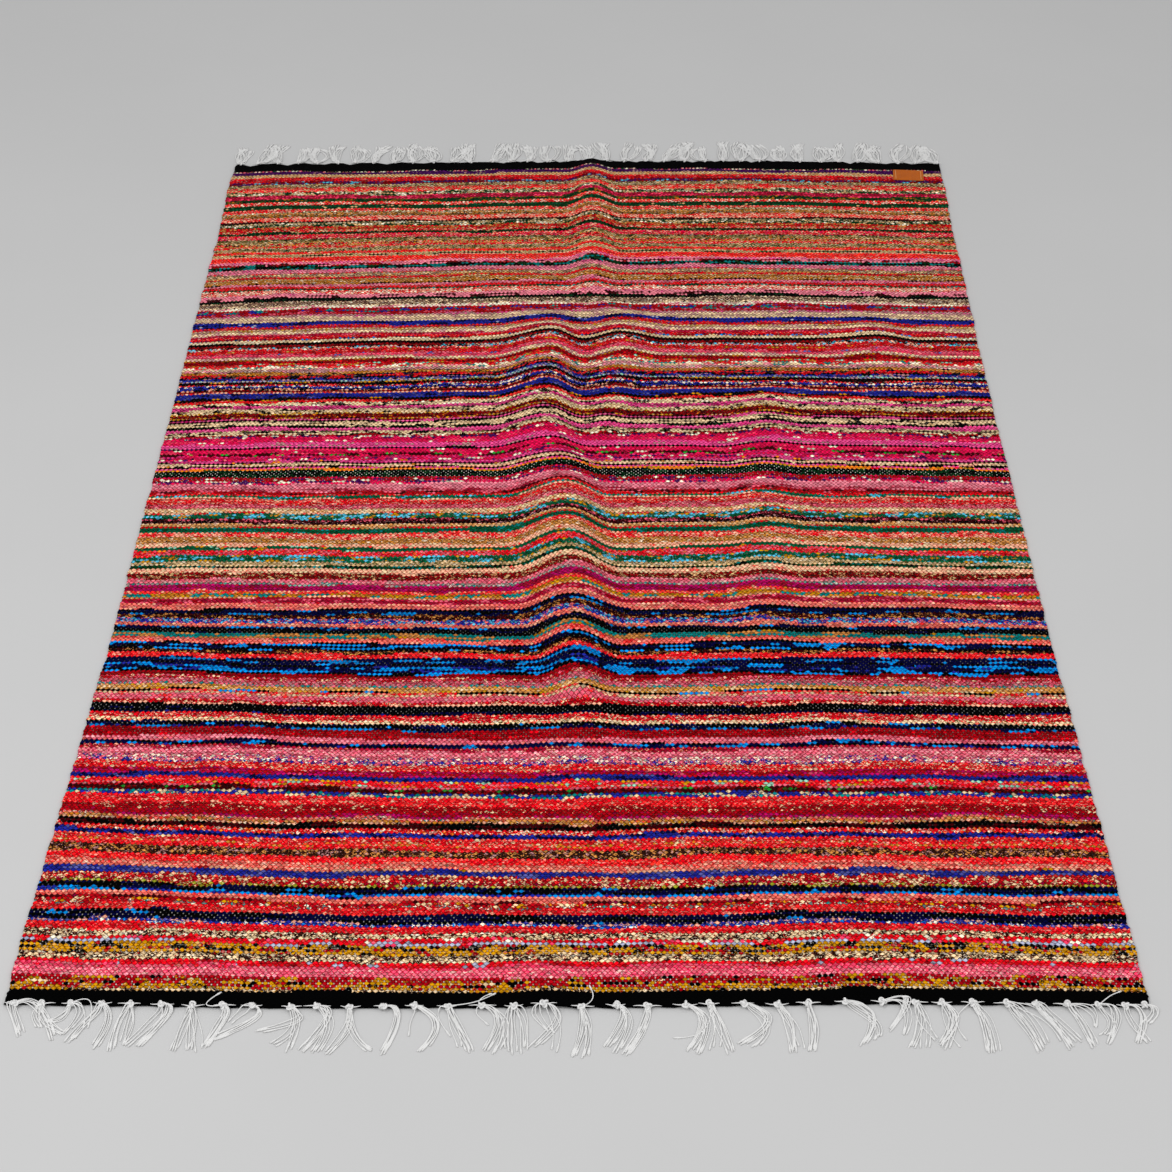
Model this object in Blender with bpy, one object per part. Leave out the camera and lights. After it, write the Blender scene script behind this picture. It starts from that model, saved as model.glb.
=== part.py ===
"""A striped flat-woven rug lying on a floor: cloth with soft ridges, a knotted fringe at each end and a bare patch.

+X runs across the rug to the right, +Y from the near end to the far end, +Z up. Metres.
"""

import math
import random
from collections import namedtuple

import bmesh
import bpy
from mathutils import Vector

MM = 0.001

# Driving dimensions
CLOTH_THICK = 4.5 * MM
PIECE_GAP = 0.3 * MM
STRIP_DEPTH = 4.0 * MM  # the last picks of each end, where the warps come out
END_UPRIGHT = 0.97  # from here to the end the cloth's thickness stands upright
END_UPRIGHT_FADE = 0.05
TASSELS = 37  # at each end
STRAND_WIDTH = 3.6 * MM
STRAND_HEIGHT = 3.4 * MM
TIP_SHARE = 0.6  # a strand's size at its tip, as a share of that at its root
KNOT_WIDTH = 10.5 * MM
KNOT_HEIGHT = 9.5 * MM
KNOT_LENGTH = 8.5 * MM
FAN_SHARE = 0.11  # how far the outer strands of a tassel spread, as a share of its reach
PATCH_WIDTH = 59 * MM
PATCH_DEPTH = 38 * MM
PATCH_THICK = 1.5 * MM
PATCH_CORNER = 3 * MM
PATCH_ACROSS = 0.633
PATCH_ALONG = 0.952
PATCH_TURN = math.radians(0.6)

# The outline. Side gives both selvedges at a place along the rug, and End both ends at a place across it.
Side = namedtuple("Side", "along left right")
SIDES = [
    Side(-1.00, -0.701, 0.701),
    Side(-0.93, -0.702, 0.700),
    Side(-0.77, -0.699, 0.696),
    Side(-0.52, -0.695, 0.692),
    Side(-0.40, -0.692, 0.689),
    Side(-0.14, -0.694, 0.689),
    Side(0.17, -0.695, 0.688),
    Side(0.34, -0.696, 0.689),
    Side(0.52, -0.698, 0.693),
    Side(0.72, -0.698, 0.694),
    Side(0.94, -0.704, 0.700),
    Side(1.00, -0.702, 0.701),
]
End = namedtuple("End", "across near far")
ENDS = [
    End(-0.70, -1.000, 1.000),
    End(-0.52, -1.003, 1.002),
    End(-0.35, -1.004, 1.005),
    End(0.00, -1.003, 1.006),
    End(0.23, -0.999, 1.005),
    End(0.35, -0.996, 1.003),
    End(0.48, -0.997, 1.001),
    End(0.70, -1.000, 1.000),
]

# Ridges that a long fold left. Each has a section for every place where its course or size changes: where its crest
# runs, how high it is there, and how far its feet are from the crest on the left and right.
Section = namedtuple("Section", "along across height left right")
RIDGES = {
    "main": [
        Section(-0.502, -0.002, 0.0000, 0.045, 0.045),
        Section(-0.474, -0.003, 0.0180, 0.050, 0.049),
        Section(-0.432, -0.004, 0.0275, 0.058, 0.065),
        Section(-0.379, -0.010, 0.0320, 0.066, 0.071),
        Section(-0.304, -0.013, 0.0335, 0.082, 0.086),
        Section(-0.246, -0.014, 0.0365, 0.093, 0.080),
        Section(-0.140, -0.021, 0.0385, 0.100, 0.074),
        Section(-0.075, -0.024, 0.0320, 0.105, 0.078),
        Section(-0.038, -0.025, 0.0335, 0.107, 0.072),
        Section(0.025, -0.034, 0.0235, 0.120, 0.070),
        Section(0.090, -0.052, 0.0200, 0.101, 0.062),
        Section(0.157, -0.060, 0.0250, 0.095, 0.059),
        Section(0.240, -0.062, 0.0270, 0.097, 0.060),
        Section(0.388, -0.058, 0.0235, 0.108, 0.057),
        Section(0.453, -0.060, 0.0110, 0.122, 0.050),
        Section(0.500, -0.060, 0.0000, 0.120, 0.050),
    ],
    "beside_main": [
        Section(0.110, 0.035, 0.0000, 0.028, 0.032),
        Section(0.157, 0.036, 0.0060, 0.032, 0.040),
        Section(0.240, 0.046, 0.0075, 0.042, 0.065),
        Section(0.388, 0.065, 0.0150, 0.066, 0.076),
        Section(0.453, 0.066, 0.0105, 0.062, 0.110),
        Section(0.500, 0.036, 0.0060, 0.042, 0.060),
        Section(0.535, 0.030, 0.0000, 0.035, 0.035),
    ],
    "far": [
        Section(0.505, 0.012, 0.0000, 0.046, 0.046),
        Section(0.560, 0.012, 0.0095, 0.048, 0.048),
        Section(0.635, 0.011, 0.0145, 0.052, 0.060),
        Section(0.780, 0.011, 0.0180, 0.055, 0.058),
        Section(0.900, 0.010, 0.0170, 0.054, 0.056),
        Section(0.970, 0.009, 0.0130, 0.048, 0.046),
        Section(1.010, 0.010, 0.0085, 0.050, 0.046),
    ],
    "near_middle": [
        Section(-0.670, 0.000, 0.0000, 0.090, 0.090),
        Section(-0.575, 0.004, 0.0028, 0.088, 0.088),
        Section(-0.536, 0.010, 0.0060, 0.080, 0.080),
        Section(-0.497, 0.020, 0.0100, 0.067, 0.076),
        Section(-0.440, 0.020, 0.0000, 0.050, 0.060),
    ],
    "near_edge": [
        Section(-1.010, -0.034, 0.0045, 0.055, 0.055),
        Section(-0.960, -0.034, 0.0030, 0.050, 0.050),
        Section(-0.900, -0.034, 0.0000, 0.050, 0.050),
    ],
    "right_long": [
        Section(-0.430, 0.270, 0.0000, 0.060, 0.060),
        Section(-0.325, 0.273, 0.0080, 0.068, 0.068),
        Section(-0.050, 0.290, 0.0092, 0.070, 0.070),
        Section(0.210, 0.306, 0.0084, 0.068, 0.068),
        Section(0.290, 0.310, 0.0000, 0.060, 0.060),
    ],
    "right_short": [
        Section(0.290, 0.520, 0.0000, 0.050, 0.050),
        Section(0.390, 0.515, 0.0115, 0.060, 0.060),
        Section(0.500, 0.510, 0.0000, 0.050, 0.050),
    ],
    "left_wave": [
        Section(-0.780, -0.500, 0.0000, 0.060, 0.060),
        Section(-0.640, -0.494, 0.0050, 0.075, 0.075),
        Section(-0.500, -0.485, 0.0000, 0.060, 0.060),
    ],
}

# One row for each tassel of the near end, in millimetres: where its knot sits across the rug, how far its tip drifts
# to the side, how far it bows out halfway, and how far its tip lies from the straight line of the end.
Tassel = namedtuple("Tassel", "knot drift bow reach")
NEAR_TASSELS = [
    Tassel(-687, 16, 0, 45),
    Tassel(-654, 8, -5, 44),
    Tassel(-618, -4, 4, 38),
    Tassel(-580, -28, 8, 60),
    Tassel(-545, -33, -2, 66),
    Tassel(-507, -39, 12, 58),
    Tassel(-469, -9, 0, 65),
    Tassel(-431, -23, 8, 60),
    Tassel(-395, -28, 12, 49),
    Tassel(-348, -18, 8, 58),
    Tassel(-316, -17, 12, 66),
    Tassel(-276, -6, 0, 66),
    Tassel(-235, -9, 12, 70),
    Tassel(-197, 7, 16, 63),
    Tassel(-156, 16, 2, 60),
    Tassel(-114, 13, 12, 65),
    Tassel(-75, 0, 0, 69),
    Tassel(-38, -5, 0, 58),
    Tassel(7, -7, 2, 74),
    Tassel(50, -10, 8, 63),
    Tassel(88, -22, 6, 69),
    Tassel(135, 4, 8, 63),
    Tassel(164, 10, 0, 66),
    Tassel(206, -5, 18, 56),
    Tassel(247, 19, 6, 64),
    Tassel(283, 8, 2, 60),
    Tassel(330, 26, 10, 50),
    Tassel(375, 11, 16, 36),
    Tassel(415, -1, 6, 58),
    Tassel(447, 4, 10, 58),
    Tassel(485, 22, 4, 66),
    Tassel(527, 45, 0, 61),
    Tassel(561, 38, 2, 60),
    Tassel(599, 27, 6, 55),
    Tassel(637, 14, 14, 56),
    Tassel(670, 16, 6, 54),
    Tassel(693, 2, 4, 26),
]
FAR_REACH = 86  # millimetres, for the far end's tassels, which only roughly differ
FAR_SEED = 21

# Steps of the cloth's mesh, in millimetres: finer over the ridges than on the flat
FINE_STEP = 14
COARSE_STEP = 62
ALONG_STEP = 44
ALONG_FINE_STEP = 19

MATERIALS = {
    "cloth": (0.55, 0.10, 0.12),
    "fringe_near": (0.85, 0.84, 0.80),
    "fringe_far": (0.85, 0.84, 0.80),
    "patch": (0.45, 0.24, 0.12),
}


def clear_scene():
    for item in list(bpy.data.objects):
        bpy.data.objects.remove(item)


def material(name, colour, roughness):
    made = bpy.data.materials.new(name)
    made.use_nodes = True
    shader = made.node_tree.nodes["Principled BSDF"]
    shader.inputs["Base Color"].default_value = (*colour, 1)
    shader.inputs["Roughness"].default_value = roughness
    return made


def add_object(name, mesh_edit):
    """Turns a bmesh into an object whose faces look outwards."""
    bmesh.ops.recalc_face_normals(mesh_edit, faces=mesh_edit.faces)
    mesh = bpy.data.meshes.new(name)
    mesh_edit.to_mesh(mesh)
    mesh_edit.free()
    item = bpy.data.objects.new(name, mesh)
    item.data.materials.append(material(name, MATERIALS[name], 0.85))
    bpy.context.collection.objects.link(item)
    return item


def between(rows, key, at, field, soft=False):
    """The value of one field at a place, from the rows on each side of it."""
    if at <= getattr(rows[0], key):
        return getattr(rows[0], field)
    for low, high in zip(rows, rows[1:]):
        a, b = getattr(low, key), getattr(high, key)
        if at <= b:
            share = (at - a) / (b - a)
            if soft:
                share = share * share * (3 - 2 * share)
            return getattr(low, field) + share * (getattr(high, field) - getattr(low, field))
    return getattr(rows[-1], field)


def lift(x, y):
    """How far the underside of the cloth is off the floor."""
    total = 0.0
    for sections in RIDGES.values():
        if not sections[0].along < y < sections[-1].along:
            continue
        height = between(sections, "along", y, "height", soft=True)
        off = x - between(sections, "along", y, "across", soft=True)
        off = abs(off) / between(sections, "along", y, "left" if off < 0 else "right")
        if off < 1:
            total += height * (0.5 + 0.5 * math.cos(math.pi * off))
    return total


def lean(x, y):
    """The direction square to the cloth, but upright along the rug near its ends, where the strips stand."""
    step = 2 * MM
    across = (lift(x + step, y) - lift(x - step, y)) / (2 * step)
    along = (lift(x, y + step) - lift(x, y - step)) / (2 * step)
    along *= min(1.0, max(0.0, (END_UPRIGHT - abs(y)) / END_UPRIGHT_FADE))
    return Vector((-across, -along, 1)).normalized()


def edge(x, end):
    return between(ENDS, "across", x, end, soft=True)


def cloth_points(share_across, share_along, inset):
    """A point of the cloth's underside and the one above it, from shares of its width and length."""
    guess = -1 + 2 * share_along
    left = between(SIDES, "along", guess, "left", soft=True)
    right = between(SIDES, "along", guess, "right", soft=True)
    x = left + share_across * (right - left)
    near = edge(x, "near") + inset
    far = edge(x, "far") - inset
    y = near + share_along * (far - near)
    under = Vector((x, y, lift(x, y)))
    return under, under + CLOTH_THICK * lean(x, y)


def steps(low, high, size):
    count = max(1, round((high - low) / size))
    return [low + (high - low) * i / count for i in range(count)]


def shares_across():
    """Where the mesh's lines run, as shares of the width, close together over the ridges in the middle."""
    places = steps(-700, -180, COARSE_STEP) + steps(-180, 166, FINE_STEP)
    places += steps(166, 215, COARSE_STEP) + steps(215, 375, FINE_STEP * 1.6)
    places += steps(375, 450, COARSE_STEP) + steps(450, 580, FINE_STEP * 1.6)
    places += steps(580, 700, COARSE_STEP) + [700]
    return [(x + 700) / 1400 for x in places]


def shares_along():
    """The same along the rug, close together where the main ridge starts and stops."""
    places = steps(-1000, -560, ALONG_STEP) + steps(-560, -400, ALONG_FINE_STEP)
    places += steps(-400, 390, ALONG_STEP) + steps(390, 580, ALONG_FINE_STEP)
    places += steps(580, 1000, ALONG_STEP) + [1000]
    return [(y + 1000) / 2000 for y in places]


def make_cloth():
    """One closed sheet that arches over the ridges and lies flat on the floor elsewhere."""
    mesh_edit = bmesh.new()
    inset = STRIP_DEPTH + PIECE_GAP
    under, over = [], []
    for share_along in shares_along():
        pairs = [cloth_points(s, share_along, inset) for s in shares_across()]
        under.append([mesh_edit.verts.new(low) for low, _ in pairs])
        over.append([mesh_edit.verts.new(high) for _, high in pairs])
    rows, columns = len(under), len(under[0])
    for j in range(rows - 1):
        for i in range(columns - 1):
            mesh_edit.faces.new([over[j][i], over[j][i + 1], over[j + 1][i + 1], over[j + 1][i]])
            mesh_edit.faces.new([under[j][i], under[j + 1][i], under[j + 1][i + 1], under[j][i + 1]])
    rim = [(0, i) for i in range(columns)] + [(j, columns - 1) for j in range(1, rows)]
    rim += [(rows - 1, i) for i in range(columns - 2, -1, -1)] + [(j, 0) for j in range(rows - 2, 0, -1)]
    for (j, i), (k, h) in zip(rim, rim[1:] + rim[:1]):
        mesh_edit.faces.new([under[j][i], under[k][h], over[k][h], over[j][i]])
    return add_object("cloth", mesh_edit)


class Fringe:
    """One end's strip of last picks with its tassels, built as a single closed body.

    outward is -1 at the near end and 1 at the far end.
    """

    def __init__(self, name, end, outward, tassels):
        self.name, self.end, self.outward, self.tassels = name, end, outward, tassels
        self.mesh_edit = bmesh.new()

    def point(self, x, out, z):
        """A new corner at a distance out from the strip's outer face."""
        y = edge(x, self.end) + self.outward * out
        return self.mesh_edit.verts.new((x, y, z))

    def ring(self, line, out, half_width, height, floor_z):
        """Four corners below and four above, across a tassel whose middle runs along line."""
        low, high = [], []
        for k in range(4):
            side = -1 + 2 * k / 3
            x = line(out) + side * half_width
            top = height * (0.62 if k in (0, 3) else 1.0)
            low.append(self.point(x, out, floor_z))
            high.append(self.point(x, out, floor_z + top))
        return low, high

    def skin(self, first, second):
        """Joins two rings with faces all round."""
        loops = [a[0] + a[1][::-1] for a in (first, second)]
        for i in range(len(loops[0])):
            j = (i + 1) % len(loops[0])
            self.mesh_edit.faces.new([loops[0][i], loops[0][j], loops[1][j], loops[1][i]])

    def strand(self, root, place, fan, reach):
        """One strand from four root corners to a blunt tip, flat on the floor."""
        start, spans, last = KNOT_LENGTH + 3 * MM, 3, root
        for k in range(1, spans + 1):
            share = k / spans
            out = start + share * (reach - start)
            size = 1 - (1 - TIP_SHARE) * share
            middle = place(out) + fan * out
            half = STRAND_WIDTH * size / 2
            top = STRAND_HEIGHT * size
            corners = [(-half, 0), (half, 0), (0.7 * half, top), (-0.7 * half, top)]
            ring = [self.point(middle + dx, out, z) for dx, z in corners]
            for i in range(4):
                j = (i + 1) % 4
                self.mesh_edit.faces.new([last[i], last[j], ring[j], ring[i]])
            last = ring
        self.mesh_edit.faces.new(last)

    def tassel(self, row, low, high):
        """A knot grown from the strip's outer face, and the strands that leave it."""
        reach = row.reach * MM
        centre = row.knot * MM

        def place(out):
            share = min(1.0, out / reach)
            return centre + row.drift * MM * share + row.bow * MM * math.sin(math.pi * share)

        raised = lift(centre, edge(centre, self.end))
        rings = [(low, high)]
        for out, width, height, stays in (
            (2.0 * MM, 1.0, 1.0, 0.6),
            (KNOT_LENGTH, 0.95, 0.95, 0.2),
            (KNOT_LENGTH + 3 * MM, 0.8, 0.42, 0.0),
        ):
            ring = self.ring(place, out, KNOT_WIDTH * width / 2, KNOT_HEIGHT * height, raised * stays)
            self.skin(rings[-1], ring)
            rings.append(ring)
        low, high = rings[-1]
        for k, fan in enumerate((-FAN_SHARE, 0.0, FAN_SHARE)):
            self.strand([low[k], low[k + 1], high[k + 1], high[k]], place, fan, reach)

    def build(self):
        mesh_edit = self.mesh_edit
        neck = 3.4 * MM
        stations = [-0.7005]
        for row in self.tassels:
            stations += [row.knot * MM + side * neck for side in (-1, -1 / 3, 1 / 3, 1)]
        stations.append(0.7005)
        outer, inner = [], []
        for x in stations:
            for out, store in ((0, outer), (-STRIP_DEPTH, inner)):
                floor_z = lift(x, edge(x, self.end) + self.outward * out)
                store.append((self.point(x, out, floor_z), self.point(x, out, floor_z + CLOTH_THICK)))
        for i in range(len(stations) - 1):
            (a, b), (c, d) = outer[i], outer[i + 1]
            (e, f), (g, h) = inner[i], inner[i + 1]
            mesh_edit.faces.new([e, g, h, f])
            mesh_edit.faces.new([b, d, h, f])
            mesh_edit.faces.new([a, c, g, e])
            if i % 4 == 0:
                mesh_edit.faces.new([a, c, d, b])
        for (a, b), (e, f) in ((outer[0], inner[0]), (outer[-1], inner[-1])):
            mesh_edit.faces.new([a, b, f, e])
        for i, row in enumerate(self.tassels):
            group = outer[1 + 4 * i : 5 + 4 * i]
            self.tassel(row, [pair[0] for pair in group], [pair[1] for pair in group])
        return add_object(self.name, mesh_edit)


def far_tassels():
    """Tassels at an even pitch, each a little out of place and out of line."""
    chance = random.Random(FAR_SEED)
    pitch = 1386 / (TASSELS - 1)
    rows = []
    for i in range(TASSELS):
        knot = -693 + pitch * i + chance.uniform(-3, 3) * (0 < i < TASSELS - 1)
        drift = chance.uniform(-9, 9)
        bow = chance.uniform(-5, 5)
        rows.append(Tassel(knot, drift, bow, FAR_REACH - chance.uniform(0, 14)))
    return rows


def make_patch():
    """A flat leather patch with round corners, just above the cloth."""
    mesh_edit = bmesh.new()
    outline = []
    for turn, (sx, sy) in enumerate(((1, 1), (-1, 1), (-1, -1), (1, -1))):
        for k in range(4):
            angle = math.pi / 2 * (turn + k / 3)
            x = sx * (PATCH_WIDTH / 2 - PATCH_CORNER) + PATCH_CORNER * math.cos(angle)
            y = sy * (PATCH_DEPTH / 2 - PATCH_CORNER) + PATCH_CORNER * math.sin(angle)
            outline.append((x, y))
    cos, sin = math.cos(PATCH_TURN), math.sin(PATCH_TURN)
    low_z = CLOTH_THICK + PIECE_GAP
    rings = []
    for z in (low_z, low_z + PATCH_THICK):
        places = [(PATCH_ACROSS + x * cos - y * sin, PATCH_ALONG + x * sin + y * cos, z) for x, y in outline]
        rings.append([mesh_edit.verts.new(p) for p in places])
    low, high = rings
    mesh_edit.faces.new(high)
    mesh_edit.faces.new(low[::-1])
    for i in range(len(outline)):
        j = (i + 1) % len(outline)
        mesh_edit.faces.new([low[i], low[j], high[j], high[i]])
    return add_object("patch", mesh_edit)


def centre_all(items):
    """Moves the whole rug so that its bounding box is centred on the origin and stands on the floor."""
    points = [v.co for item in items for v in item.data.vertices]
    middle = [(min(p[k] for p in points) + max(p[k] for p in points)) / 2 for k in (0, 1)]
    shift = Vector((-middle[0], -middle[1], 0))
    for item in items:
        for v in item.data.vertices:
            v.co += shift


clear_scene()
centre_all(
    [
        make_cloth(),
        Fringe("fringe_near", "near", -1, NEAR_TASSELS).build(),
        Fringe("fringe_far", "far", 1, far_tassels()).build(),
        make_patch(),
    ]
)
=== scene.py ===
import math
import random
from collections import namedtuple

import bpy
import numpy as np
from mathutils import Matrix, Vector


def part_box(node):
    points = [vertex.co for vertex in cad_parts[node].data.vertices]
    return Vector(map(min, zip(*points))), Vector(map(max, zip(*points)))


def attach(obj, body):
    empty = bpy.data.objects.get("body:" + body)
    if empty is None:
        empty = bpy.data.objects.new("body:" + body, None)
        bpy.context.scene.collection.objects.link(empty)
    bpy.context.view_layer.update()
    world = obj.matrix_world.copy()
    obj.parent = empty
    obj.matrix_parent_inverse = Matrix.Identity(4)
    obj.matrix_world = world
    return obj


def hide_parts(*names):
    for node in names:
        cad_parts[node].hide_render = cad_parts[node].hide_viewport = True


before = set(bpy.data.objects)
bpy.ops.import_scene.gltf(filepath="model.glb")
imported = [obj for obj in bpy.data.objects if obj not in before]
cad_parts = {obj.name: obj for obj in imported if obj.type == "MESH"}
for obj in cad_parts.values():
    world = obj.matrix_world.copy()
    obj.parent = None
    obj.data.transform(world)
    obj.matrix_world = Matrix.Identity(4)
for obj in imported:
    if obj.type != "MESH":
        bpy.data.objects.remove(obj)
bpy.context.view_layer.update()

MM = 0.001

# The model is drawn in the rug's own coordinates, with the middle of the cloth at the origin. The packed
# frame is centred on the whole rug, so everything moves by SHIFT at the end.
PATCH_PLACE = Vector((0.633, 0.952, 0))
patch_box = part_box("patch")
SHIFT = Vector([(patch_box[0][k] + patch_box[1][k]) / 2 - PATCH_PLACE[k] for k in (0, 1)] + [0])


# Charts


def read(word):
    """A word of a chart: a number, a name, or nothing for a dash."""
    if word == "-":
        return ""
    if word.strip("-.0123456789"):
        return word
    return float(word) if "." in word else int(word)


def rows_of(kind, chart):
    """The rows of a chart, one to a line, with their words in the order of the row's fields."""
    return [kind(*map(read, line.split())) for line in chart.strip().splitlines()]


# Cloth
CLOTH_THICK = 4.5 * MM
CLOTH_LENGTH = 2.0
HALF_WIDTH = 0.7
PICKS = 550
WARP_PAIRS = 190
WEAVE_SEED = 5
PICK_STRETCH = 0.1  # how unevenly the picks are beaten in
EDGE_ROUND = 2.2 * MM
BEAD_WAVE = 0.32  # how far a bead presses in between two of the next pick, in picks
SELVEDGE_BITE = 1.0 * MM  # how far every other pick draws the selvedge in
SELVEDGE_STRAY = 0.6  # how uneven that bite is
SELVEDGE_LOOP = 1.5 * MM  # how far the turns of the yarns stand out or in
SELVEDGE_TURN = 2.6  # rows of the mesh from one turn to the next
SELVEDGE_FROM = 0.98  # where the selvedge starts, from 0 at the middle to 1 at the side

Side = namedtuple("Side", "along left right")
SIDES = rows_of(Side, """
-1 -0.701 0.701
-0.93 -0.702 0.7
-0.77 -0.699 0.696
-0.52 -0.695 0.692
-0.4 -0.692 0.689
-0.14 -0.694 0.689
0.17 -0.695 0.688
0.34 -0.696 0.689
0.52 -0.698 0.693
0.72 -0.698 0.694
0.94 -0.704 0.7
1 -0.702 0.701
""")
End = namedtuple("End", "across near far")
ENDS = rows_of(End, """
-0.7 -1 1.003
-0.6 -1.001 1.008
-0.35 -1.004 1.009
0 -1.003 1.013
0.23 -0.999 1.013
0.35 -0.996 1.012
0.48 -0.997 1.008
0.6 -0.999 1.003
0.7 -1 1.001
""")

# Ridges that a long fold left: where each crest runs, how high it is, and how far off its feet are on the
# left and right
Section = namedtuple("Section", "along across height left right")
RIDGES = {
    "main": rows_of(Section, """
-0.502 -0.002 0 0.045 0.045
-0.474 -0.003 0.018 0.05 0.049
-0.432 -0.004 0.0275 0.058 0.065
-0.379 -0.01 0.032 0.066 0.071
-0.304 -0.013 0.0335 0.082 0.086
-0.246 -0.014 0.0365 0.093 0.08
-0.14 -0.021 0.0385 0.1 0.074
-0.075 -0.024 0.032 0.105 0.078
-0.038 -0.025 0.0335 0.107 0.072
0.025 -0.034 0.0235 0.12 0.07
0.09 -0.052 0.02 0.101 0.062
0.157 -0.06 0.025 0.095 0.059
0.24 -0.062 0.027 0.097 0.06
0.388 -0.058 0.0235 0.108 0.057
0.453 -0.06 0.011 0.122 0.05
0.5 -0.06 0 0.12 0.05
"""),
    "beside_main": rows_of(Section, """
0.11 0.035 0 0.028 0.032
0.157 0.036 0.006 0.032 0.04
0.24 0.046 0.0075 0.042 0.065
0.388 0.065 0.015 0.066 0.076
0.453 0.066 0.0105 0.062 0.11
0.5 0.036 0.006 0.042 0.06
0.535 0.03 0 0.035 0.035
"""),
    "far": rows_of(Section, """
0.505 0.012 0 0.046 0.046
0.56 0.012 0.0095 0.048 0.048
0.635 0.011 0.0145 0.052 0.06
0.78 0.011 0.018 0.055 0.058
0.9 0.01 0.017 0.054 0.056
0.97 0.009 0.013 0.048 0.046
1.01 0.01 0.0085 0.05 0.046
"""),
    "near_middle": rows_of(Section, """
-0.67 0 0 0.09 0.09
-0.575 0.004 0.0028 0.088 0.088
-0.536 0.01 0.006 0.08 0.08
-0.497 0.02 0.01 0.067 0.076
-0.44 0.02 0 0.05 0.06
"""),
    "near_edge": rows_of(Section, """
-1.01 -0.034 0.0045 0.055 0.055
-0.96 -0.034 0.003 0.05 0.05
-0.9 -0.034 0 0.05 0.05
"""),
    "right_long": rows_of(Section, """
-0.43 0.27 0 0.06 0.06
-0.325 0.273 0.008 0.068 0.068
-0.05 0.29 0.0092 0.07 0.07
0.21 0.306 0.0084 0.068 0.068
0.29 0.31 0 0.06 0.06
"""),
    "right_short": rows_of(Section, """
0.27 0.53 0 0.07 0.07
0.39 0.515 0.0085 0.09 0.08
0.52 0.49 0 0.08 0.07
"""),
    "left_wave": rows_of(Section, """
-0.78 -0.5 0 0.06 0.06
-0.64 -0.494 0.005 0.075 0.075
-0.5 -0.485 0 0.06 0.06
"""),
}

# The picks aren't quite square to the sides. Each row gives how far they run towards the far end at the
# left side.
Slant = namedtuple("Slant", "along left")
SLANTS = rows_of(Slant, """
-1 0
-0.85 0.01
-0.55 0.01
-0.1 0
0.3 -0.012
0.6 -0.016
0.9 -0.008
1 -0.004
""")
SLANT_FROM = -0.10
SLANT_BEND = 1.3

# Where the mesh's columns run on the flat, from the middle: round each side, and in spans between the sides
RIM_COLUMNS = (0.7, 0.6993, 0.6975)
Span = namedtuple("Span", "low high size")
SPANS = rows_of(Span, """
-0.694 -0.176 0.0252
-0.176 0.166 0.011
0.166 0.21 0.02
0.21 0.37 0.015
0.37 0.46 0.022
0.46 0.57 0.015
0.57 0.694 0.0252
""")
END_ROW = 0.14  # how far the mesh's second row is from the end, in picks
END_ROWS = 2  # the mesh's rows at each end that are outside the crests

# How the picks wander: a wave's size in millimetres, its length in metres, how many picks turn it on by one
# radian, and where it starts
Wave = namedtuple("Wave", "size length drift turn")
PICK_WAVES = rows_of(Wave, """
1.3 0.43 15 0.3
0.9 0.21 9 1.9
0.5 0.097 6 4.0
""")
CALM_SHARE = 0.03  # the share of the length by each end over which they calm down

# How the knots draw the last picks outward, in two waves along the end
EndWave = namedtuple("EndWave", "share length turn")
END_WAVES = rows_of(EndWave, """
0.6 0.0385 1.1
0.4 0.062 2.3
""")
END_DRAWN = {"near": -1.4 * MM, "far": 7.5 * MM}  # along y
END_SHARE = 0.008  # the share of the length that is drawn

CHART_LINE = -0.165  # how far across the stripes were read
CHART_UNIT = 1.004 * MM  # a millimetre of the chart, as long as it lies on the cloth
STRAY_REACH = 0.9  # how far a stripe's edge strays, in millimetres of the chart
Stray = namedtuple("Stray", "size per_metre per_pick turn")
STRAY_WAVES = rows_of(Stray, """
1 9.1 0.23 0
0.8 21.7 -0.41 1
0.6 47 0.73 2
""")

# Yarn colours as they look in soft light, red green blue out of 255
Dye = namedtuple("Dye", "name red green blue")
YARNS = {row.name: row[1:] for row in rows_of(Dye, """
black 2 2 3
navy 6 8 66
royal 38 46 148
lavender 92 94 158
azure 0 146 216
sky 92 190 214
teal 6 138 136
mint 150 200 178
emerald 4 98 64
forest 10 68 34
olive 112 104 46
lime 170 178 52
mustard 196 144 8
orange 236 140 34
camel 204 144 78
tan 208 176 128
beige 228 202 164
peach 236 176 148
cream 248 236 214
salmon 230 116 104
rose 220 98 120
pink 238 70 110
hot 222 58 132
magenta 182 16 104
plum 136 8 66
purple 88 18 100
crimson 172 6 26
deep 146 4 18
maroon 72 2 12
brown 58 26 17
taupe 134 100 84
mauve 190 142 142
grey 176 178 198
red 224 10 34
coral 234 48 50
neon 250 60 46
wine 168 18 58
blush 234 142 158
orchid 224 82 148
fuchsia 226 22 92
green 48 160 60
ochre 188 124 30
""")}

WARP_WHITE = (250, 244, 232)
# The cotton's darker colour is painted shade in the grooves between its plies, and its lighter one the
# crests; fluff mixes them at random
COTTON_GROOVE_SHADE = (232, 231, 229)
COTTON_CREST_LIGHT = (252, 252, 252)
LEATHER_DARK = (150, 66, 8)
LEATHER_LIGHT = (208, 108, 24)
STITCH_DARK = (226, 160, 90)
STITCH_LIGHT = (248, 204, 144)
FLOOR_DARK = (203, 203, 203)
FLOOR_LIGHT = (209, 209, 209)

# What a bead of a yarn shows in full light is brighter and deeper than the mean of its fibres
DYE_GAIN = 1.11
DYE_DEPTH = 1.14
SMOOTH_YARNS = (  # these take no pale fluff
    "black", "navy", "royal", "azure", "teal", "emerald", "forest", "maroon", "brown", "purple",
    "crimson", "deep", "wine", "plum", "magenta", "fuchsia",
)

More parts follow.
